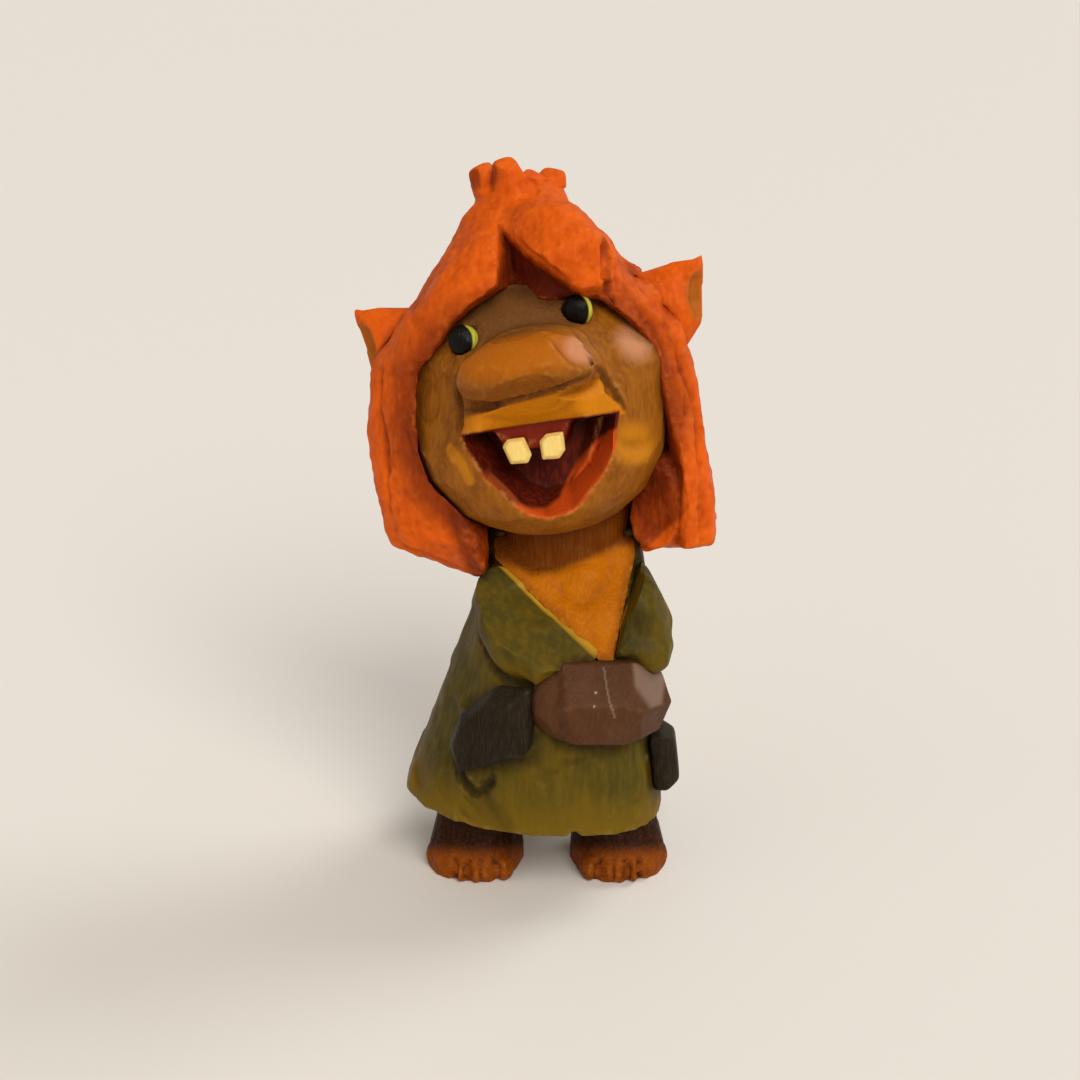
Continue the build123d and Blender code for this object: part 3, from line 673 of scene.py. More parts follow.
class Effects:
    """The effects that several paints share, each a node group that is built once.

    Each range is where a random pattern starts to show and where it shows in full.
    """

    STREAK_RANGE = (0.42, 0.68)
    MOTTLE_RANGE = (0.36, 0.66)
    DAB_RANGE = (0.1, 0.75)
    DAB_CLUSTERS = 0.35
    # How the painted shade in hollows and seams is broken into patches: their size, their range and the
    # thinnest share left.
    SHADE_SCALE = 0.45
    SHADE_RANGE = (0.3, 0.62)
    SHADE_THIN = 0.45
    WEAR_SCALE = 0.55
    WEAR_RANGE = (0.45, 0.62)
    EDGE_RANGE = (0.15, 0.8)
    COARSE, FINE = 4.0, 5.0

    def __init__(self) -> None:
        """Builds the groups."""
        self.streaks = self.group("brush_streaks", ["Spot", "Stretch"], [], "Mask", self.wire_streaks)
        self.mottle = self.group("paint_mottle", ["Spot"], ["Scale"], "Mask", self.wire_mottle)
        self.stipple = self.group("paint_stipple", ["Spot"], ["Scale"], "Height", self.wire_stipple)
        self.painted_shade = self.group("dark_wash", ["Spot"], ["Hollow", "Seam"], "Mask", self.wire_painted_shade)
        self.wear = self.group("worn_edge", ["Spot"], [], "Mask", self.wire_wear)

    @staticmethod
    def group(name: str, vectors: list[str], values: list[str], result: str,
              wire: Callable[[Wiring, object], bpy.types.NodeSocket]) -> bpy.types.NodeTree:
        """Makes one group.

        Args:
            name: the group's name.
            vectors: its vector inputs.
            values: its number inputs.
            result: its one output.
            wire: the method that lays its nodes and gives the result's socket.

        Returns:
            The group.
        """
        tree = bpy.data.node_groups.new(name, 'ShaderNodeTree')
        for socket in vectors:
            tree.interface.new_socket(socket, in_out='INPUT', socket_type='NodeSocketVector')
        for socket in values:
            tree.interface.new_socket(socket, in_out='INPUT', socket_type='NodeSocketFloat')
        tree.interface.new_socket(result, in_out='OUTPUT', socket_type='NodeSocketFloat')
        wiring = Wiring(tree)
        feeds = wiring.add('NodeGroupInput').outputs
        wiring.add('NodeGroupOutput', {result: wire(wiring, feeds)})
        return tree

    def wire_streaks(self, wiring: Wiring, feeds: object) -> bpy.types.NodeSocket:
        """Long thin marks of the brush and the grain.

        Args:
            wiring: the group's tree.
            feeds: the sockets of the group's inputs.

        Returns:
            The result's socket.
        """
        spot = wiring.add('ShaderNodeVectorMath', operation='MULTIPLY')
        wiring.feed(spot.inputs[0], feeds["Spot"])
        wiring.feed(spot.inputs[1], feeds["Stretch"])
        return wiring.span(wiring.cloud(spot.outputs[0], 1.0, self.COARSE), *self.STREAK_RANGE)

    def wire_mottle(self, wiring: Wiring, feeds: object) -> bpy.types.NodeSocket:
        """Broad uneven patches of thinner and thicker paint."""
        return wiring.span(wiring.cloud(feeds["Spot"], feeds["Scale"], self.COARSE), *self.MOTTLE_RANGE)

    def wire_stipple(self, wiring: Wiring, feeds: object) -> bpy.types.NodeSocket:
        """Small dabs that a full brush leaves, in clusters.

        Args:
            wiring: the group's tree.
            feeds: the sockets of the group's inputs.

        Returns:
            The result's socket.
        """
        dabs = wiring.add('ShaderNodeTexVoronoi', {"Vector": feeds["Spot"], "Scale": feeds["Scale"]},
                          feature='SMOOTH_F1').outputs[0]
        return wiring.math('MULTIPLY', wiring.span(dabs, *self.DAB_RANGE, 1.0, 0.0),
                           wiring.cloud(feeds["Spot"], self.DAB_CLUSTERS, self.COARSE))

    def wire_painted_shade(self, wiring: Wiring, feeds: object) -> bpy.types.NodeSocket:
        """Painted shade that darkens hollows and the seams between pieces, broken into patches.

        Args:
            wiring: the group's tree.
            feeds: the sockets of the group's inputs.

        Returns:
            The result's socket.
        """
        hollow = wiring.math('MULTIPLY', wiring.mask("hollow"), feeds["Hollow"])
        seam = wiring.math('MULTIPLY', wiring.mask("seam"), feeds["Seam"])
        patches = wiring.cloud(feeds["Spot"], self.SHADE_SCALE, self.FINE)
        broken = wiring.span(patches, *self.SHADE_RANGE, self.SHADE_THIN, 1.0)
        return wiring.math('MULTIPLY', wiring.math('MAXIMUM', hollow, seam), broken)

    def wire_wear(self, wiring: Wiring, feeds: object) -> bpy.types.NodeSocket:
        """Edges where handling has thinned the paint; on the hair these paler edges also stand in as painted
        highlight.
        """
        broken = wiring.span(wiring.cloud(feeds["Spot"], self.WEAR_SCALE, self.FINE), *self.WEAR_RANGE)
        return wiring.math('MULTIPLY', wiring.span(wiring.mask("edge"), *self.EDGE_RANGE), broken)


@dataclass(frozen=True)
class Region:
    """A patch of another colour: the mask that marks it, its colour and how well it covers."""

    mask: str
    colour: Triple
    cover: float = 1.0


@dataclass(frozen=True)
class Paint:
    """A hand-brushed paint with its uneven tones, painted shade in its hollows and seams, and its wear."""

    name: str
    main: Triple
    second: Triple
    streak: Triple
    painted_shade: Triple
    wear: Triple
    stretch: Triple = (1.6, 1.6, 0.16)
    mottle_scale: float = 0.1
    mottle: float = 0.8
    streaks: float = 0.4
    # How strongly the painted shade darkens hollows and seams.
    hollow: float = 0.8
    seam: float = 0.8
    worn: float = 0.35
    stipple_scale: float = 0.9
    stipple: float = 0.1
    grain: float = 0.08
    roughness: float = 0.48
    specular: float = 0.07
    dab_cover: float = 1.5
    thin_cover: float = 0.85
    duller: float = 0.08
    glossier: float = 0.06
    bump: float = 0.8
    regions: tuple[Region, ...] = ()

    def material(self, effects: Effects) -> bpy.types.Material:
        """Builds the material.

        Args:
            effects: the node groups that it places.

        Returns:
            The finished material.
        """
        material = bpy.data.materials.new(self.name)
        material.use_nodes = True
        tree = material.node_tree
        tree.nodes.clear()
        wiring = Wiring(tree)
        metres = wiring.add('ShaderNodeTexCoord').outputs["Object"]
        spot = wiring.add('ShaderNodeMapping', {"Vector": metres, "Scale": (1.0 / MM,) * 3}).outputs[0]
        mottle = wiring.effect(effects.mottle, Spot=spot, Scale=self.mottle_scale)
        streaks = wiring.effect(effects.streaks, Spot=spot, Stretch=self.stretch)
        stipple = wiring.effect(effects.stipple, Spot=spot, Scale=self.stipple_scale)
        painted_shade = wiring.effect(effects.painted_shade, Spot=spot, Hollow=self.hollow, Seam=self.seam)
        wear = wiring.effect(effects.wear, Spot=spot)
        colour = wiring.mix(wiring.math('MULTIPLY', mottle, self.mottle),
                            linear(self.main), linear(self.second))
        colour = wiring.mix(wiring.math('MULTIPLY', streaks, self.streaks), colour, linear(self.streak))
        colour = wiring.mix(wiring.math('MULTIPLY', stipple, self.dab_cover * self.stipple),
                            colour, linear(self.streak))
        for region in self.regions:
            broken = wiring.span(streaks, 0.0, 1.0, region.cover, self.thin_cover * region.cover)
            colour = wiring.mix(wiring.math('MULTIPLY', wiring.mask(region.mask), broken),
                                colour, linear(region.colour))
        # Painted shade: darkens the hollows and the seams between pieces.
        colour = wiring.mix(painted_shade, colour, linear(self.painted_shade))
        colour = wiring.mix(wiring.math('MULTIPLY', wear, self.worn), colour, linear(self.wear))
        rough = wiring.span(mottle, 0.0, 1.0, self.roughness - self.glossier, self.roughness + self.duller)
        height = wiring.add('ShaderNodeMath', operation='MULTIPLY_ADD')
        for index, value in enumerate((stipple, self.stipple, wiring.math('MULTIPLY', streaks, self.grain))):
            wiring.feed(height.inputs[index], value)
        bump = wiring.add('ShaderNodeBump', {"Strength": self.bump, "Distance": MM,
                                             "Height": height.outputs[0]})
        shader = wiring.add('ShaderNodeBsdfPrincipled', {
            "Base Color": colour, "Roughness": rough, "Specular IOR Level": self.specular,
            "Normal": bump.outputs[0]})
        wiring.add('ShaderNodeOutputMaterial', {"Surface": shader.outputs[0]})
        return material


COAT_PAINT = Paint("coat_paint", main=(86, 68, 14), second=(56, 54, 20), streak=(114, 92, 16),
                   painted_shade=(26, 18, 7), wear=(150, 128, 56), stretch=(0.6, 0.6, 0.12), streaks=0.35,
                   mottle_scale=0.07, hollow=0.9, grain=0.05,
                   regions=(Region("hem", (122, 92, 12), 0.65), Region("shade", (32, 23, 8), 0.9),
                            Region("lining", (190, 142, 34), 0.9)))
# The shirt's neck region is painted shadow: the chin's shadow on the neck.
SHIRT_PAINT = Paint("shirt_paint", main=(188, 104, 0), second=(160, 84, 0), streak=(208, 122, 2),
                    painted_shade=(104, 46, 3), wear=(236, 166, 40),
                    regions=(Region("neck", (96, 43, 2), 0.94),))
# The muff's facet region is a painted highlight on one flat at its right end; the scratch is real wear.
MUFF_PAINT = Paint("muff_paint", main=(84, 51, 31), second=(70, 41, 24), streak=(100, 68, 38),
                   painted_shade=(32, 20, 11), wear=(136, 108, 84), worn=0.25, streaks=0.3, grain=0.04,
                   regions=(Region("facet", (132, 108, 92), 0.75), Region("scratch", (200, 182, 156), 0.8)))
POUCH_PAINT = Paint("pouch_paint", main=(34, 26, 15), second=(25, 19, 11), streak=(56, 47, 32),
                    painted_shade=(14, 10, 6), wear=(90, 78, 56), stretch=(2.4, 2.4, 0.3), streaks=0.5)
SKIN_PAINT = Paint("skin_paint", main=(148, 86, 20), second=(118, 63, 12), streak=(172, 106, 26),
                   painted_shade=(56, 27, 7), wear=(204, 146, 76), stretch=(1.0, 1.0, 0.3), seam=0.55, worn=0.3,
                   mottle_scale=0.14,
                   # The nose region is a painted highlight on the nose's top; the under region is painted
                   # shade below the nose.
                   regions=(Region("nose", (174, 92, 7), 0.85), Region("under", (132, 72, 17), 0.85),
                            Region("brow", (104, 68, 36), 0.92), Region("lip", (198, 118, 7), 1.0),
                            # The pale region is a painted highlight on the nose's right flat and on the cheek.
                            Region("ochre", (196, 122, 12), 0.75), Region("pale", (208, 148, 112), 0.55),
                            # The fold region is painted shade in the carved folds.
                            Region("fold", (62, 30, 8), 0.55), Region("wall", (200, 72, 20), 1.0),
                            # The throat region is the mouth's dark maroon inside, and also painted shade over
                            # its left wall.
                            Region("throat", (72, 17, 11), 1.0), Region("gum", (116, 32, 16), 1.0),
                            Region("rim", (216, 112, 48), 0.7)))
# Hair: painted shade darkens it near the face and in the parting recess, the crease, the inner sides of the
# locks and the tuft's knobs; its paler edge wear is partly painted highlight.
HAIR_PAINT = Paint("hair_paint", main=(213, 86, 9), second=(184, 66, 8), streak=(228, 104, 20),
                   painted_shade=(104, 32, 8), wear=(228, 118, 52), stretch=(0.9, 0.9, 0.25), streaks=0.3,
                   mottle_scale=0.16, stipple=0.5, seam=0.7, hollow=0.75, worn=0.2,
                   stipple_scale=0.6,
                   regions=(Region("dusk", (112, 40, 8), 0.75), Region("shade", (72, 18, 8), 0.96),
                            Region("cup", (164, 90, 20), 0.95)))
FOOT_PAINT = Paint("foot_paint", main=(134, 64, 4), second=(108, 47, 3), streak=(158, 82, 10),
                   painted_shade=(34, 15, 7), wear=(178, 108, 40), stretch=(1.4, 0.4, 1.4),
                   regions=(Region("instep", (24, 12, 5), 0.96),))
TOOTH_PAINT = Paint("tooth_paint", main=(236, 204, 116), second=(230, 192, 100), streak=(242, 216, 142),
                    painted_shade=(190, 130, 50), wear=(252, 236, 186), roughness=0.35, specular=0.3, stipple=0.02)
EYE_PAINT = Paint("eye_paint", main=(12, 9, 6), second=(18, 13, 9), streak=(16, 12, 8),
                  painted_shade=(9, 6, 4), wear=(28, 22, 16), roughness=0.36, specular=0.1, stipple=0.03,
                  regions=(Region("white", (196, 190, 66), 1.0),))
BARE_WOOD = Paint("bare_wood", main=(190, 146, 96), second=(176, 132, 84), streak=(150, 108, 64),
                  painted_shade=(110, 76, 44), wear=(206, 168, 120), roughness=0.6, stipple=0.02)


@dataclass(frozen=True)
class SleeveShape:
    """How one sleeve is carved, with the fold above its cuff and the part inside that lies in shade."""

    lumps: tuple[Lump, ...]
    rounds: int
    flats: tuple[Flat, ...]
    fold: Groove
    chips: Chips
    inside: Patch | None = None


@dataclass
class CoatAndArms:
    """The coat, the shirt in its neck, the two sleeves, the muff and the two pouches."""

    effects: Effects
    voxel: float = 0.6
    fine_voxel: float = 0.42
    muff_voxel: float = 0.3
    hem_height: float = 21.0
    hem_band: float = 3.0
    hem_fray: float = 0.7
    hem_wave: float = 0.25
    hem_paint: tuple[float, float] = (22.0, 36.0)
    cuff_paint: tuple[float, float] = (2.0, 11.0)
    coat_chips: Chips = Chips(300, 8.0, 0.4, 11)
    belly: Dent = Dent((12.0, -24.0, 33.0), (19.0, 22.0, 15.0), -1.3)
    hem_notch: Dent = Dent((9.8, -25.4, 21.0), (2.0, 4.0, 2.4), 1.2)
    sleeve_bed: Dent = Dent((3.2, -16.4, 76.6), (7.0, 6.0, 6.0), 2.2)
    crease_ease: float = 5.0
    coat_creases: tuple[Groove, ...] = (
        Groove(((-11.4, 89.0), (-13.8, 80.0), (-14.0, 73.0), (-10.5, 65.0), (-5.0, 62.0), (1.0, 61.0)),
               2.8, 1.3, 0.15, shade=0.7, shade_width=2.8),
        Groove(((-20.5, 36.5), (-18.5, 33.0), (-15.3, 30.0), (-13.2, 31.5), (-11.0, 35.0)),
               1.9, 1.5, 0.15, shade=0.85, shade_width=1.8),
        Groove(((-14.5, 30.0), (-10.5, 26.0), (-8.0, 21.5)),
               4.5, 0.8, 0.15, shade=0.3, shade_width=5.0))
    shirt_chips: Chips = Chips(110, 5.0, 0.25, 12)
    collarbone: Dent = Dent((12.5, -9.5, 86.0), (8.5, 9.0, 7.5), -2.0)
    shirt_grooves: tuple[Groove, ...] = (
        Groove(((4.9, 84.8), (7.0, 81.6), (10.5, 79.8), (14.5, 80.4), (18.0, 84.0), (20.0, 89.0)),
               2.6, 0.8, 0.2),
        Groove(((12.0, 79.0), (14.0, 74.5), (16.5, 71.0)), 2.4, 0.4))
    # Where the chin's painted shadow falls on the neck.
    neck: Patch = Patch(((-30.0, 125.0), (-30.0, 89.0), (-7.7, 87.5), (-0.5, 84.6), (4.9, 85.2), (12.0, 88.2),
                         (20.0, 90.4), (40.0, 93.0), (40.0, 125.0)), 1.2)
    right_sleeve: SleeveShape = SleeveShape(
        lumps=(Lump((-5.0, -12.5, 78.0), (7.8, 8.5, 12.5), (0.0, -34.0, 0.0)),
               Lump((-0.8, -17.0, 70.8), (12.0, 8.6, 10.4), (0.0, 30.0, 0.0)),
               Lump((7.0, -21.8, 68.8), (9.0, 5.6, 4.4), (0.0, -12.0, 0.0)),
               Lump((-5.2, -14.5, 74.6), (9.0, 8.2, 9.6)),
               Lump((1.6, -20.5, 66.6), (7.5, 6.4, 5.0), (0.0, 12.0, 0.0))),
        rounds=46,
        flats=(Flat((5.0, -15.0, 77.7), (0.575, 0.0, 0.818), 40.0),
               Flat((5.5, -16.2, 76.6), (0.118, -0.646, 0.754), 30.0)),
        fold=Groove(((-3.0, 66.5), (6.0, 64.8), (14.0, 68.0)), 2.6, 0.4),
        chips=Chips(50, 7.0, 0.3, 13))
    left_sleeve: SleeveShape = SleeveShape(
        lumps=(Lump((26.3, -14.0, 77.0), (6.3, 8.5, 11.0), (0.0, -14.0, 0.0)),
               Lump((27.6, -17.5, 69.0), (6.8, 7.5, 6.5))),
        rounds=30,
        flats=(Flat((21.2, -17.0, 75.5), (-0.9, 0.0, 0.44), 30.0),),
        fold=Groove(((22.0, 70.0), (27.0, 67.0), (33.0, 65.0)), 2.6, 0.4),
        chips=Chips(50, 7.0, 0.3, 20),
        inside=Patch(((17.0, 70.0), (24.0, 83.0), (28.5, 80.0), (28.0, 71.5), (24.0, 69.5)), 2.5, 0.55))
    muff_lump: Lump = Lump((6.0, -24.8, 57.6), (7.4, 6.2, 8.6))
    muff_flats: tuple[Flat, ...] = (
        Flat((27.0, -27.2, 63.0), (0.74, -0.49, 0.45), 12.0),
        Flat((8.0, -31.5, 63.5), (-0.25, -0.8, 0.5), 11.0),
        Flat((20.0, -31.4, 64.0), (0.25, -0.82, 0.5), 8.0),
        Flat((6.0, -31.0, 53.0), (-0.3, -0.85, -0.4), 12.0),
        Flat((22.0, -31.2, 53.0), (0.3, -0.85, -0.4), 12.0))
    muff_chips: Chips = Chips(24, 7.0, 0.3, 14)
    muff_ridge: Line = ((16.8, 68.3), (17.6, 64.0), (19.4, 57.4))
    ridge_width: float = 0.34
    ridge_wear: float = 0.3
    muff_nicks: tuple[Mark, ...] = (Mark((14.7, -31.0, 63.3), (0.28, 2.5, 0.26)),
                                    Mark((14.3, -32.5, 60.7), (0.28, 2.5, 0.26)))
    nick_wear: float = 0.7
    muff_facet: Patch = Patch(((23.6, 69.5), (32.5, 62.0), (31.0, 57.6), (28.2, 58.4), (24.2, 64.5)), 0.8)
    pouch_slant: float = 0.24
    pouch_middle: float = -10.0
    pouch_top: Mark = Mark((-5.0, -25.0, 59.0), (10.0, 12.0, 7.0), 0.6)
    pouch_rise: float = 1.8
    pouch_flat: Flat = Flat((-6.4, -27.0, 43.8), (0.475, 0.0, -0.88), 18.0)
    pouch_chips: Chips = Chips(24, 6.0, 0.2, 15)

    def build(self) -> None:
        """Carves and paints every piece of the clothes."""
        coat_paint = COAT_PAINT.material(self.effects)
        self.coat(coat_paint)
        self.shirt(SHIRT_PAINT.material(self.effects))
        self.sleeve(Side.RIGHT, self.right_sleeve, coat_paint)
        self.sleeve(Side.LEFT, self.left_sleeve, coat_paint)
        self.muff(MUFF_PAINT.material(self.effects))
        pouch_paint = POUCH_PAINT.material(self.effects)
        for side in Side:
            self.pouch(side, pouch_paint)

    def coat(self, paint: bpy.types.Material) -> None:
        """Carves the flared coat: full belly, creases by the arm and pouch, frayed yellowed hem.

        Args:
            paint: the coat's material.
        """
        coat = Carving("coat_body", FIGURE, self.voxel)
        coat.rough_out(rounds=4)
        coat.press(self.belly)
        coat.facets(self.coat_chips)
        coat.smooth(rounds=3)
        coat.ripple(size=6.0, depth=0.25)
        for crease in self.coat_creases:
            coat.stroke(crease)
            coat.smooth(rounds=4, where=coat.line_mask(crease.line, self.crease_ease))
        wave = self.hem_wave
        ragged = np.array([noise.noise(Vector((wave * x, wave * y, 0.0))) for x, y, _ in coat.points])
        near_hem = 1.0 - fade(0.0, self.hem_band, coat.up - self.hem_height)
        coat.up[:] += self.hem_fray * near_hem * np.maximum(ragged, 0.0)
        coat.press(self.hem_notch, self.sleeve_bed)
        coat.masks["hem"] = 1.0 - fade(*self.hem_paint, coat.up)
        # Painted shade along the creases by the arm, under the pouch and beside the front panel.
        coat.masks["shade"] = np.maximum.reduce([crease.shade * coat.line_mask(crease.line, crease.shade_width)
                                                 for crease in self.coat_creases])
        coat.relief_masks(rounds=16)
        coat.seam_mask("sleeve_right", "sleeve_left", "hand_muff", "pouch_right", "pouch_left",
                       "shirt_front", "hair_cap", "foot_right", "foot_left", reach=3.5)
        coat.finish(paint)

    def shirt(self, paint: bpy.types.Material) -> None:
        """Carves the shirt front with its collarbone bulge, and marks the painted shadow of the chin on the
        neck above it.

        Args:
            paint: the shirt's material.
        """
        shirt = Carving("shirt_front", FIGURE, self.fine_voxel)
        shirt.rough_out(rounds=4)
        shirt.facets(self.shirt_chips)
        shirt.press(self.collarbone)
        shirt.stroke(*self.shirt_grooves)
        shirt.smooth(rounds=6)
        shirt.ripple(size=3.0, depth=0.12)
        # Painted shadow of the chin on the neck.
        shirt.masks["neck"] = shirt.patch_mask(self.neck)
        shirt.relief_masks(rounds=14)
        shirt.seam_mask("coat_body", "sleeve_right", "sleeve_left", "hand_muff", "head_block", reach=2.5)
        shirt.finish(paint)

    def sleeve(self, side: Side, shape: SleeveShape, paint: bpy.types.Material) -> None:
        """Carves one fat sleeve, with the paler paint along its cuff and by the shirt.

        Args:
            side: the arm's side.
            shape: how that sleeve is carved.
            paint: the coat's material.
        """
        sleeve = Carving(side.node("sleeve"), FIGURE, self.fine_voxel)
        sleeve.clay(*shape.lumps)
        sleeve.rough_out(shape.rounds)
        sleeve.slice(*shape.flats)
        if shape.inside:
            sleeve.masks["shade"] = sleeve.patch_mask(shape.inside)
        sleeve.smooth(rounds=4)
        sleeve.facets(shape.chips)
        sleeve.stroke(shape.fold)
        sleeve.smooth(rounds=2)
        sleeve.relief_masks(rounds=14)
        low, high = (sleeve.up.min() + rise for rise in self.cuff_paint)
        sleeve.masks["hem"] = 1.0 - fade(low, high, sleeve.up)
        sleeve.seam_mask("shirt_front", reach=1.1)
        sleeve.masks["lining"] = fade(0.25, 0.8, sleeve.masks["seam"])
        sleeve.seam_mask("hand_muff", "hair_cap", reach=1.6)
        sleeve.finish(paint)

    def muff(self, paint: bpy.types.Material) -> None:
        """Carves the muff in broad flats, with a scratched ridge, two nicks and one flat painted lighter as a
        painted highlight.

        Args:
            paint: the muff's material.
        """
        muff = Carving("hand_muff", FIGURE, self.muff_voxel)
        muff.clay(self.muff_lump)
        muff.rough_out(rounds=8)
        muff.slice(*self.muff_flats)
        muff.facets(self.muff_chips)
        muff.smooth(rounds=2)
        worn = [self.ridge_wear * muff.line_mask(self.muff_ridge, self.ridge_width)]
        worn += [self.nick_wear * muff.egg_mask(nick) for nick in self.muff_nicks]
        muff.masks["scratch"] = np.maximum.reduce(worn)
        # Painted highlight on one flat at the muff's right end.
        muff.masks["facet"] = muff.patch_mask(self.muff_facet)
        muff.relief_masks(rounds=20)
        muff.seam_mask("coat_body", "sleeve_right", "sleeve_left", "shirt_front", "pouch_right", reach=1.6)
        muff.finish(paint)

    def pouch(self, side: Side, paint: bpy.types.Material) -> None:
        """Carves one dark pouch on the hip, its edges worn round; the right one hangs askew.

        Args:
            side: the hip's side.
            paint: the pouches' material.
        """
        pouch = Carving(side.node("pouch"), FIGURE, self.fine_voxel)
        pouch.rough_out(rounds=10)
        if side is Side.RIGHT:
            pouch.up[:] += self.pouch_slant * (pouch.across - self.pouch_middle)
            pouch.up[:] += self.pouch_rise * pouch.egg_mask(self.pouch_top)
        pouch.slice(self.pouch_flat)
        pouch.facets(self.pouch_chips)
        pouch.smooth(rounds=4)
        pouch.relief_masks(rounds=14)
        pouch.seam_mask("coat_body", "hand_muff", "sleeve_right", "sleeve_left", reach=2.0)
        pouch.finish(paint)


@dataclass
class Feet:
    """The two bare feet."""

    effects: Effects
    voxel: float = 0.38
    chips: Chips = Chips(50, 4.0, 0.22, 16)
    toe_reach: float = 7.0
    toe_low: float = -2.0
    toe_rise: float = 7.5
    toe_turn: float = 0.1
    toe_gaps: tuple[float, ...] = (0.22, 0.41, 0.6, 0.79)
    gap_width: float = 1.7
    gap_depth: float = 1.2
    gap_ends: float = 0.3
    instep_slope: float = 0.42
    instep_start: float = -4.0
    instep_paint: tuple[float, float] = (3.0, 8.5)

    def build(self) -> None:
        """Carves and paints both feet."""
        paint = FOOT_PAINT.material(self.effects)
        for side in Side:
            foot = Carving(side.node("foot"), FIGURE, self.voxel)
            foot.rough_out(rounds=3)
            foot.facets(self.chips)
            self.toes(foot)
            slope = foot.up + self.instep_slope * (foot.deep - self.instep_start)
            foot.masks["instep"] = fade(*self.instep_paint, slope)
            foot.relief_masks(rounds=14)
            foot.seam_mask("coat_body", reach=4.0)
            foot.up[:] = np.maximum(foot.up, 0.0)
            foot.finish(paint)

    def toes(self, foot: Carving) -> None:
        """Cuts the gaps between a foot's toes up over its front.

        Args:
            foot: the roughed-out foot.
        """
        front = foot.points[foot.deep < foot.deep.min() + self.toe_reach]
        low, high = front[:, 0].min(), front[:, 0].max()
        for share in self.toe_gaps:
            across = low + share * (high - low)
            top = (1.0 - self.toe_turn) * across + self.toe_turn * foot.across.mean()
            foot.stroke(Groove(((across, self.toe_low), (top, self.toe_rise)),
                               self.gap_width, self.gap_depth, self.gap_ends))


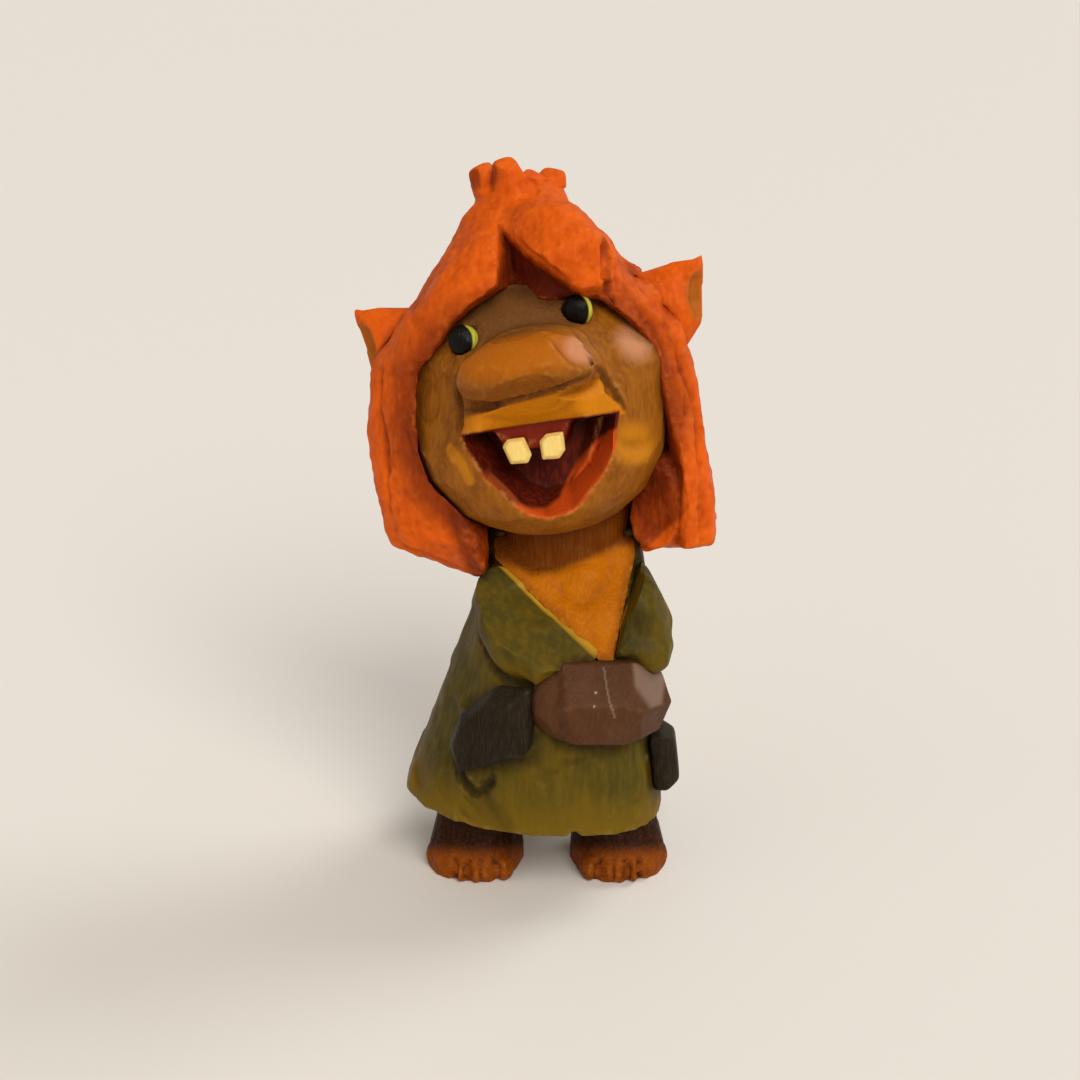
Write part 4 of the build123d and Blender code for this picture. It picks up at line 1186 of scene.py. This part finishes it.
@dataclass
class Face:
    """The head block with its nose, lips and mouth, the eyes and the teeth.

    The mouth's edge is given as shares of its reach to either side and of its drop.
    """

    effects: Effects
    voxel: float = 0.5
    small_voxel: float = 0.2
    lumps: tuple[Lump, ...] = (
        Lump((0.3, -30.5, 0.9), (17.0, 11.8, 7.6)),
        Lump((2.0, -24.0, 5.0), (13.0, 9.0, 5.5)),
        Lump((-23.5, -11.5, -6.0), (8.0, 9.0, 15.0)),
        Lump((22.8, -9.5, -5.0), (7.6, 9.5, 15.0)))
    flats: tuple[Flat, ...] = (
        Flat((22.5, -17.0, 3.0), (0.595, -0.605, 0.53), 17.0),
        Flat((24.0, -16.5, -7.6), (0.755, -0.62, -0.216), 18.0),
        Flat((-24.0, -16.5, -5.0), (-0.7, -0.7, 0.1), 16.0),
        Flat((12.5, -33.0, 3.2), (0.6, -0.55, 0.58), 8.0),
        Flat((-1.0, -36.0, -4.4), (0.0, -0.5, -0.87), 18.0))
    folds: tuple[Groove, ...] = (
        Groove(((15.0, 3.6), (16.0, 2.0), (17.4, -2.5), (18.4, -6.5), (21.0, -11.5)), 1.7, 1.6, 0.2),
        Groove(((-15.5, 4.0), (-18.2, -1.0), (-18.0, -5.5), (-18.8, -11.5)), 1.8, 1.6, 0.2),
        Groove(((-16.5, -6.4), (-8.0, -6.6), (1.0, -6.2), (9.0, -5.0), (15.0, -3.2)), 1.3, 1.0, 0.2))
    # How wide the painted shade in each fold is, as a share of the fold's width.
    fold_shade_share: float = 0.7
    chips: Chips = Chips(220, 6.0, 0.28, 17)
    chin: Mark = Mark((-1.0, -26.0, -34.0), (12.0, 12.0, 6.0), 0.6)
    chin_drop: float = 1.7
    mouth_top: float = 12.4
    mouth_drop: float = 22.2
    mouth_right: float = 18.6
    mouth_left: float = 21.5
    mouth_floor: float = -12.0
    mouth_rim: float = -27.0
    mouth_flare: float = 32.0
    mouth_scale: Triple = (1.3, 1.0, 0.72)
    mouth_roof: float = 40.0
    mouth_skirt: tuple[float, float] = (0.3, 1.5)
    mouth_edge: Line = ((-1.0, 0.0), (-0.72, -0.5), (-0.38, -0.85), (-0.05, -1.0),
                        (0.3, -0.95), (0.66, -0.68), (0.9, -0.32), (1.0, 0.0))
    wall_start: float = 2.5
    wall_slope: float = 2.4
    wall_ease: float = 1.2
    # The throat's outline: dark maroon inside, which also lays painted shade over the mouth's left wall.
    throat: Line = ((-20.0, -10.0), (22.0, -10.0), (21.0, -14.3), (19.3, -15.9), (16.0, -16.4), (11.2, -19.3),
                    (7.2, -22.4), (4.2, -26.5), (2.0, -29.8), (-1.2, -31.0), (-4.3, -30.4), (-9.5, -28.4),
                    (-11.9, -24.8), (-15.8, -20.4), (-20.0, -14.0))
    gum: Mark = Mark((-1.1, -21.0, -14.0), (11.5, 6.5, 5.0), 0.15)
    rim_inset: float = 0.35
    lip: Patch = Patch(((-18.3, -13.5), (20.5, -13.0), (19.8, -10.6), (15.8, -3.9), (12.0, -4.6), (5.7, -5.9),
                        (-5.6, -7.0), (-17.5, -8.6)), 0.35)
    brow: Patch = Patch(((-15.0, 13.0), (-11.0, 19.0), (-4.0, 25.0), (6.0, 24.0), (12.0, 20.0), (20.0, 15.0),
                         (12.0, 9.0), (4.0, 9.5), (-6.0, 9.0), (-12.0, 6.5)), 2.0)
    # Painted highlight on the nose's top, and painted shade under the nose.
    nose: Mark = Mark((0.0, -35.0, 3.5), (16.5, 12.0, 5.5))
    shade_under_nose: Mark = Mark((-2.0, -34.0, -4.6), (17.0, 12.0, 3.2))
    cheek: Mark = Mark((21.0, -16.0, -20.5), (6.0, 9.0, 5.0), 0.4)
    jaw: Line = ((-22.0, -15.0), (-19.5, -19.0), (-18.4, -23.0))
    jaw_width: float = 2.2
    # Painted highlights on the nose's right flat and on the cheek.
    nose_highlight: Mark = Mark((13.0, -31.5, 3.2), (3.6, 6.0, 3.6), 0.4)
    cheek_highlight: Mark = Mark((25.5, -16.0, 4.0), (4.5, 6.0, 5.0), 0.5)
    eye_right: Triple = (-14.8, -19.4, 9.8)
    eye_left: Triple = (13.0, -18.4, 12.8)
    eye_radii: Triple = (3.4, 2.3, 3.5)
    pupil_shift: tuple[float, float] = (0.55, 0.3)
    pupil_size: tuple[float, float] = (3.0, 3.7)
    tooth_lean_right: float = 0.13
    tooth_lean_left: float = -0.16

    def build(self) -> None:
        """Carves and paints the face and what is set into it."""
        self.head(SKIN_PAINT.material(self.effects))
        eye_paint = EYE_PAINT.material(self.effects)
        tooth_paint = TOOTH_PAINT.material(self.effects)
        self.eye(Side.RIGHT, self.eye_right, eye_paint)
        self.eye(Side.LEFT, self.eye_left, eye_paint)
        self.tooth(Side.RIGHT, self.tooth_lean_right, tooth_paint)
        self.tooth(Side.LEFT, self.tooth_lean_left, tooth_paint)

    def head(self, paint: bpy.types.Material) -> None:
        """Carves the face: potato nose, lip band, smile folds, cheeks and the open mouth.

        Args:
            paint: the skin's material.
        """
        head = Carving("head_block", HEAD, self.voxel)
        head.clay(*self.lumps)
        head.rough_out(rounds=3)
        self.carve_features(head)
        self.carve_mouth(head)
        head.facets(self.chips)
        self.mark_mouth(head)
        self.mark_skin(head)
        head.relief_masks(rounds=16)
        head.seam_mask("hair_cap", "shirt_front", "eye_right", "eye_left", "ear_right", "ear_left", reach=2.5)
        head.up[:] -= self.chin_drop * head.egg_mask(self.chin)
        head.finish(paint)

    def carve_features(self, head: Carving) -> None:
        """Cuts the flats of the nose and cheeks and the folds round the smile.

        Args:
            head: the roughed-out head.
        """
        outer = fade(*self.mouth_skirt, self.mouth_gap(head.points))
        head.smooth(rounds=10, where=outer * fade(-12.0, -7.0, head.up))
        head.smooth(rounds=24, where=outer * fade(16.0, 21.0, np.abs(head.across)))
        head.slice(*self.flats)
        head.stroke(*self.folds)
        head.smooth(rounds=2, where=fade(*self.mouth_skirt, self.mouth_gap(head.points)))

    def mouth_outline(self) -> np.ndarray:
        """The lower edge of the mouth at its rim, from corner to corner, below the lip."""
        return np.array([(share * (self.mouth_right if share < 0.0 else self.mouth_left),
                          drop * self.mouth_drop) for share, drop in self.mouth_edge])

    def mouth_gap(self, points: np.ndarray) -> np.ndarray:
        """Measures how far points are from the mouth's outline, which narrows with depth.

        Args:
            points: the points, one row each.

        Returns:
            Each point's distance from the outline at its own depth, negative inside.
        """
        depths = (self.mouth_rim - self.mouth_flare, self.mouth_rim, self.mouth_floor)
        size = np.interp(points[:, 1], depths, self.mouth_scale)
        spots = np.stack([points[:, 0], points[:, 2] + self.mouth_top], axis=1) / size[:, None]
        return outline_gap(spots, self.mouth_outline()) * size

    def carve_mouth(self, head: Carving) -> None:
        """Slopes the mouth's wall on its left and below, from the rim down to the throat.

        Args:
            head: the head with its features cut.
        """
        inside = 1.0 - fade(-0.6, 0.2, self.mouth_gap(head.points))
        tall = np.array([(self.mouth_left, self.mouth_roof), (-self.mouth_right, self.mouth_roof)])
        edge = np.concatenate([self.mouth_outline(), tall])
        within = -outline_gap(head.front + np.array([0.0, self.mouth_top]), edge)
        slope = self.wall_slope - self.wall_ease * fade(0.0, 14.0, head.across)
        limit = self.mouth_rim + self.wall_start + slope * within
        over = np.maximum(head.deep - limit, 0.0)
        head.deep[:] -= over * inside * fade(-14.0, -6.0, head.across)
        wall = fade(-0.4, -1.4, self.mouth_gap(head.points)) * fade(-23.0, -21.0, head.deep)
        head.smooth(rounds=10, where=wall)

    def mark_mouth(self, head: Carving) -> None:
        """Marks the mouth's red wall, its dark throat with painted shade over the left wall, the gum and the
        pale lower rim.

        Args:
            head: the carved head.
        """
        gap = self.mouth_gap(head.points)
        inside = (1.0 - fade(0.15, 0.6, gap)) * fade(-33.5, -32.0, head.deep)
        inside *= 1.0 - fade(-11.6, -10.6, head.up) * fade(-24.0, -25.0, head.deep)
        # The throat's dark maroon also covers the mouth's left wall, as painted shade.
        dark = 1.0 - fade(-0.5, 0.5, outline_gap(head.front, np.array(self.throat)))
        head.masks["wall"] = inside
        head.masks["throat"] = inside * dark
        head.masks["gum"] = inside * dark * head.egg_mask(self.gum)
        edge = 1.0 - fade(0.15, 0.55, np.abs(gap + self.rim_inset))
        head.masks["rim"] = edge * fade(-20.0, -24.0, head.up) * fade(-21.5, -22.5, head.deep)

    def mark_skin(self, head: Carving) -> None:
        """Marks the lip band, the brow, the brush marks on the cheek and jaw, painted shade in the folds and
        under the nose, and painted highlights on the nose's top, its right flat and the cheek.

        Args:
            head: the carved head, its mouth already marked.
        """
        bare = 1.0 - head.masks["wall"]
        head.masks["lip"] = head.patch_mask(self.lip) * bare
        # Painted shade in the carved folds.
        lines = [head.line_mask(fold.line, self.fold_shade_share * fold.width) for fold in self.folds]
        head.masks["fold"] = np.maximum.reduce(lines) * bare
        head.masks["brow"] = head.patch_mask(self.brow)
        # Painted highlight on the nose's top and painted shade under it.
        head.masks["nose"] = head.egg_mask(self.nose)
        head.masks["under"] = head.egg_mask(self.shade_under_nose)
        jaw = head.line_mask(self.jaw, self.jaw_width)
        head.masks["ochre"] = np.maximum(head.egg_mask(self.cheek), jaw) * bare
        # Painted highlights on the nose's right flat and on the cheek.
        head.masks["pale"] = np.maximum(head.egg_mask(self.nose_highlight), head.egg_mask(self.cheek_highlight))

    def eye(self, side: Side, seat: Triple, paint: bpy.types.Material) -> None:
        """Carves one glossy black eye with a yellow-green crescent on its left.

        Args:
            side: the eye's side.
            seat: where it stands out of the face.
            paint: the eyes' material.
        """
        eye = Carving(side.node("eye"), HEAD, self.small_voxel)
        eye.clay(Lump(seat, self.eye_radii))
        eye.rough_out(rounds=5)
        across = (eye.across - seat[0] + self.pupil_shift[0]) / self.pupil_size[0]
        up = (eye.up - seat[2] + self.pupil_shift[1]) / self.pupil_size[1]
        eye.masks["white"] = fade(1.0, 1.12, np.hypot(across, up)) * fade(0.6, 1.8, eye.across - seat[0])
        eye.relief_masks(rounds=10)
        eye.finish(paint)

    def tooth(self, side: Side, lean: float, paint: bpy.types.Material) -> None:
        """Carves one front tooth.

        Args:
            side: the tooth's side.
            lean: how far it leans across for each millimetre down.
            paint: the teeth's material.
        """
        tooth = Carving(side.node("tooth"), HEAD, self.small_voxel)
        tooth.rough_out(rounds=12)
        tooth.across[:] += lean * (tooth.up.mean() - tooth.up)
        tooth.relief_masks(rounds=10, scale=0.5)
        tooth.seam_mask("head_block", reach=0.8)
        tooth.finish(paint)


@dataclass
class Hair:
    """The hair with its parting and bang, the tuft on top and the two ears."""

    effects: Effects
    voxel: float = 0.65
    fine_voxel: float = 0.38
    hair_lumps: tuple[Lump, ...] = (Lump((25.0, 0.0, -36.0), (8.5, 7.0, 12.0), (0.0, 20.0, 0.0)),
                                    Lump((1.2, 1.2, 38.5), (11.6, 11.0, 7.4)))
    crown: Mark = Mark((1.2, 1.2, 40.0), (17.0, 17.0, 9.0))
    left_lock: Flat = Flat((27.0, -5.2, -34.0), (-0.62, -0.78, -0.06), 17.0)
    hair_chips: Chips = Chips(260, 8.0, 0.45, 19)
    parting: Line = ((-3.0, 35.0), (3.2, 27.0), (8.5, 22.0), (14.0, 17.0), (16.0, 9.0), (2.0, 11.0),
                     (-4.2, 14.0), (-3.6, 24.8))
    parting_depth: float = 4.6
    crease: Groove = Groove(((22.4, 27.0), (21.8, 20.0), (20.8, 11.0)),
                            1.9, 2.2, 0.15, shade=0.5, shade_width=1.3)
    locks: tuple[Groove, ...] = (
        Groove(((23.5, 24.5), (28.0, 19.5), (32.5, 13.5), (35.0, 6.5), (36.0, -3.0)), 3.6, -2.2, 0.2),
        Groove(((24.0, 18.5), (28.5, 10.5), (32.0, 2.5), (32.5, -6.0)), 4.2, 1.9),
        Groove(((33.5, -8.0), (35.5, -14.0), (33.0, -20.0), (34.5, -27.0)), 2.4, 1.0),
        Groove(((-31.0, 1.0), (-34.0, -8.0), (-33.5, -17.0), (-30.5, -25.0)), 3.4, 1.2),
        Groove(((-24.0, 6.5), (-28.5, 1.0), (-31.5, -4.0)), 2.6, 1.5))
    # Painted shade on the inner sides of the two lower locks.
    shaded_sides: tuple[Patch, ...] = (
        Patch(((27.3, -22.5), (31.8, -28.5), (30.0, -39.5), (19.5, -47.0), (12.0, -42.0), (19.0, -32.0)),
              0.8, 0.7),
        Patch(((-25.5, -30.5), (-19.0, -29.0), (-13.0, -38.0), (-13.0, -56.0), (-23.5, -50.0), (-25.0, -38.5)),
              1.8, 0.75))
    tuft_base: Lump = Lump((1.2, 1.6, 38.7), (11.9, 11.3, 7.7))
    tuft_swell: float = 0.4
    tuft_drop: float = 3.2
    tuft_chips: Chips = Chips(90, 3.0, 0.45, 22)
    tuft_shade: float = 0.6
    tuft_shade_from: Triple = (-0.82, -0.5, -0.28)
    ear_chips: Chips = Chips(30, 4.0, 0.25, 18)
    cup_middle: float = 44.25
    cup_shift: float = 0.3
    cup_depth: float = -0.9
    cup_height: float = 11.4
    cup_radii: Triple = (6.2, 4.8, 7.7)
    cup_soft: float = 0.12

    def build(self) -> None:
        """Carves and paints the hair, the tuft and the ears."""
        paint = HAIR_PAINT.material(self.effects)
        self.cap(paint)
        self.tuft(paint)
        for side in Side:
            self.ear(side, paint)

    def cap(self, paint: bpy.types.Material) -> None:
        """Carves the hair: parting recess, bang, ridge towards the ear and knife-cut locks.

        Args:
            paint: the hair's material.
        """
        hair = Carving("hair_cap", HEAD, self.voxel)
        hair.clay(*self.hair_lumps)
        hair.rough_out(rounds=5)
        hair.smooth(rounds=14, where=hair.egg_mask(self.crown))
        hair.slice(self.left_lock)
        hair.ripple(size=11.0, depth=1.1)
        hair.facets(self.hair_chips)
        hair.ripple(size=4.0, depth=0.3)
        hair.seam_mask("head_block", reach=6.0)
        hair.smooth(rounds=14, where=fade(0.0, 0.6, hair.masks["seam"]))
        gap = outline_gap(hair.front, np.array(self.parting))
        sunk = (1.0 - fade(-1.9, 0.7, gap)) * fade(2.0, -2.0, hair.deep)
        hair.deep[:] += self.parting_depth * sunk
        hair.stroke(self.crease, *self.locks)
        hair.smooth(rounds=1)
        hair.ripple(size=2.0, depth=0.3)
        # Painted shade in the parting recess, along the crease and on the locks' inner sides.
        crease = self.crease.shade * hair.line_mask(self.crease.line, self.crease.shade_width)
        hair.masks["shade"] = np.maximum.reduce([sunk, crease, *map(hair.patch_mask, self.shaded_sides)])
        # Painted shade on the hair close to the face, fading out at the bottom of the locks.
        hair.seam_mask("head_block", reach=10.0)
        hair.masks["dusk"] = fade(0.1, 0.7, hair.masks["seam"]) * fade(-40.0, -30.0, hair.up)
        hair.relief_masks(rounds=18, scale=0.45)
        hair.seam_mask("head_block", "ear_right", "ear_left", reach=5.5)
        hair.finish(paint)

    def tuft(self, paint: bpy.types.Material) -> None:
        """Carves the crown of blunt knobs, growing out of the hair.

        Args:
            paint: the hair's material.
        """
        tuft = Carving("hair_tuft", HEAD, self.fine_voxel)
        tuft.clay(self.tuft_base)
        tuft.rough_out(rounds=14)
        tuft.points += self.tuft_swell * tuft.normals()
        tuft.up[:] -= self.tuft_drop * fade(2.5, 9.0, tuft.across) * fade(42.0, 47.0, tuft.up)
        tuft.facets(self.tuft_chips)
        tuft.relief_masks(rounds=24, scale=0.6)
        # Painted shade on the knobs' sides that face left, forward and down.
        facing = tuft.normals() @ np.array(self.tuft_shade_from)
        tuft.masks["shade"] = self.tuft_shade * fade(0.5, 0.9, facing) * fade(44.5, 46.0, tuft.up)
        tuft.finish(paint)

    def ear(self, side: Side, paint: bpy.types.Material) -> None:
        """Carves one pointed ear with a brown cup.

        Args:
            side: the ear's side.
            paint: the hair's material.
        """
        ear = Carving(side.node("ear"), HEAD, self.fine_voxel)
        ear.rough_out(rounds=4)
        ear.facets(self.ear_chips)
        middle = (self.cup_middle * side.value - self.cup_shift, self.cup_depth, self.cup_height)
        ear.masks["cup"] = ear.egg_mask(Mark(middle, self.cup_radii, self.cup_soft))
        ear.relief_masks(rounds=16, scale=0.4)
        ear.seam_mask("hair_cap", reach=1.5)
        ear.finish(paint)


@dataclass
class HiddenPegs:
    """The dowels and pegs inside, which keep their own shapes and get bare wood."""

    effects: Effects
    nodes: tuple[str, ...] = ("neck_dowel", "muff_dowel", "leg_dowels", "sleeve_dowels", "pouch_pegs",
                              "tuft_peg", "ear_pegs")

    def build(self) -> None:
        """Puts the bare wood on every peg."""
        wood = BARE_WOOD.material(self.effects)
        for node in self.nodes:
            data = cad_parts[node].data
            data.materials.clear()
            data.materials.append(wood)
            LOG.info("%s: bare wood", node)


@dataclass(frozen=True)
class Lamp:
    """One soft far-off lamp that looks at the figure.

    It has the direction that it shines from, the angle that it fills in the sky in degrees, its light
    on a surface that faces it, and its colour.
    """

    name: str
    spot: Triple
    spread: float
    strength: float
    tint: Triple

    def hang(self) -> None:
        """Adds the lamp to the scene."""
        light = bpy.data.lights.new(self.name, 'SUN')
        light.angle = math.radians(self.spread)
        light.energy = self.strength
        light.color = self.tint
        lamp = bpy.data.objects.new(self.name, light)
        lamp.location = self.spot
        lamp.rotation_euler = Vector(self.spot).to_track_quat('Z', 'Y').to_euler()
        bpy.context.scene.collection.objects.link(lamp)


@dataclass
class Studio:
    """The pale floor, the soft lights and the camera."""

    floor_radius: float = 9.0
    floor_corners: int = 64
    floor_colour: Triple = (232, 226, 217)
    floor_roughness: float = 0.6
    sky_light: float = 0.4
    sky_shown: float = 0.6
    lamps: tuple[Lamp, ...] = (
        Lamp("key_light", (0.3, -0.85, 0.75), 35.0, 2.15, (1.0, 0.98, 0.96)),
        Lamp("fill_light", (-0.8, -0.65, 0.45), 60.0, 0.32, (1.0, 0.94, 0.86)),
        Lamp("back_light", (0.75, 0.35, 0.8), 30.0, 1.1, (0.93, 0.96, 1.0)))
    eye: Triple = (1.336, -445.674, 254.0)
    pitch: float = 20.1
    lens: float = 63.33
    sensor_width: float = 36.0

    def build(self) -> None:
        """Sets up the whole studio."""
        scene = bpy.context.scene
        scene.view_settings.view_transform = 'Standard'
        self.floor()
        self.world(scene)
        for lamp in self.lamps:
            lamp.hang()
        self.camera(scene)

    def floor(self) -> None:
        """Lays a wide round floor."""
        shape = bmesh.new()
        bmesh.ops.create_circle(shape, cap_ends=True, radius=self.floor_radius,
                                segments=self.floor_corners)
        mesh = bpy.data.meshes.new("floor")
        shape.to_mesh(mesh)
        shape.free()
        material = bpy.data.materials.new("floor")
        material.use_nodes = True
        shader = material.node_tree.nodes["Principled BSDF"]
        shader.inputs["Base Color"].default_value = linear(self.floor_colour)
        shader.inputs["Roughness"].default_value = self.floor_roughness
        mesh.materials.append(material)
        floor = bpy.data.objects.new("floor", mesh)
        bpy.context.scene.collection.objects.link(floor)

    def world(self, scene: bpy.types.Scene) -> None:
        """Sets up a dim even sky that looks pale to the camera.

        Args:
            scene: the scene that gets it.
        """
        world = bpy.data.worlds.new("studio")
        world.use_nodes = True
        wiring = Wiring(world.node_tree)
        light = wiring.add('ShaderNodeLightPath')
        seen = wiring.math('MAXIMUM', light.outputs["Is Camera Ray"], light.outputs["Is Glossy Ray"])
        strength = wiring.span(seen, 0.0, 1.0, self.sky_light, self.sky_shown)
        sky = world.node_tree.nodes["Background"]
        sky.inputs["Color"].default_value = linear(self.floor_colour)
        wiring.feed(sky.inputs["Strength"], strength)
        scene.world = world

    def camera(self, scene: bpy.types.Scene) -> None:
        """Puts the camera in front of the figure, looking down at it.

        Args:
            scene: the scene that gets it.
        """
        data = bpy.data.cameras.new("camera")
        data.lens = self.lens
        data.sensor_width = self.sensor_width
        camera = bpy.data.objects.new("camera", data)
        camera.location = Vector(self.eye) * MM
        camera.rotation_euler = (math.radians(90.0 - self.pitch), 0.0, 0.0)
        scene.collection.objects.link(camera)
        scene.camera = camera


def write_sizes() -> None:
    """Brings the scene's view layer up to date."""
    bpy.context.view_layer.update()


def main() -> None:
    """Builds every part of the dressed figure in order."""
    logging.basicConfig(level=logging.INFO, format="%(name)s %(message)s")
    effects = Effects()
    Studio().build()
    for part in (CoatAndArms(effects), Feet(effects), Face(effects), Hair(effects), HiddenPegs(effects)):
        part.build()
    write_sizes()


if __name__ == "__main__":
    main()
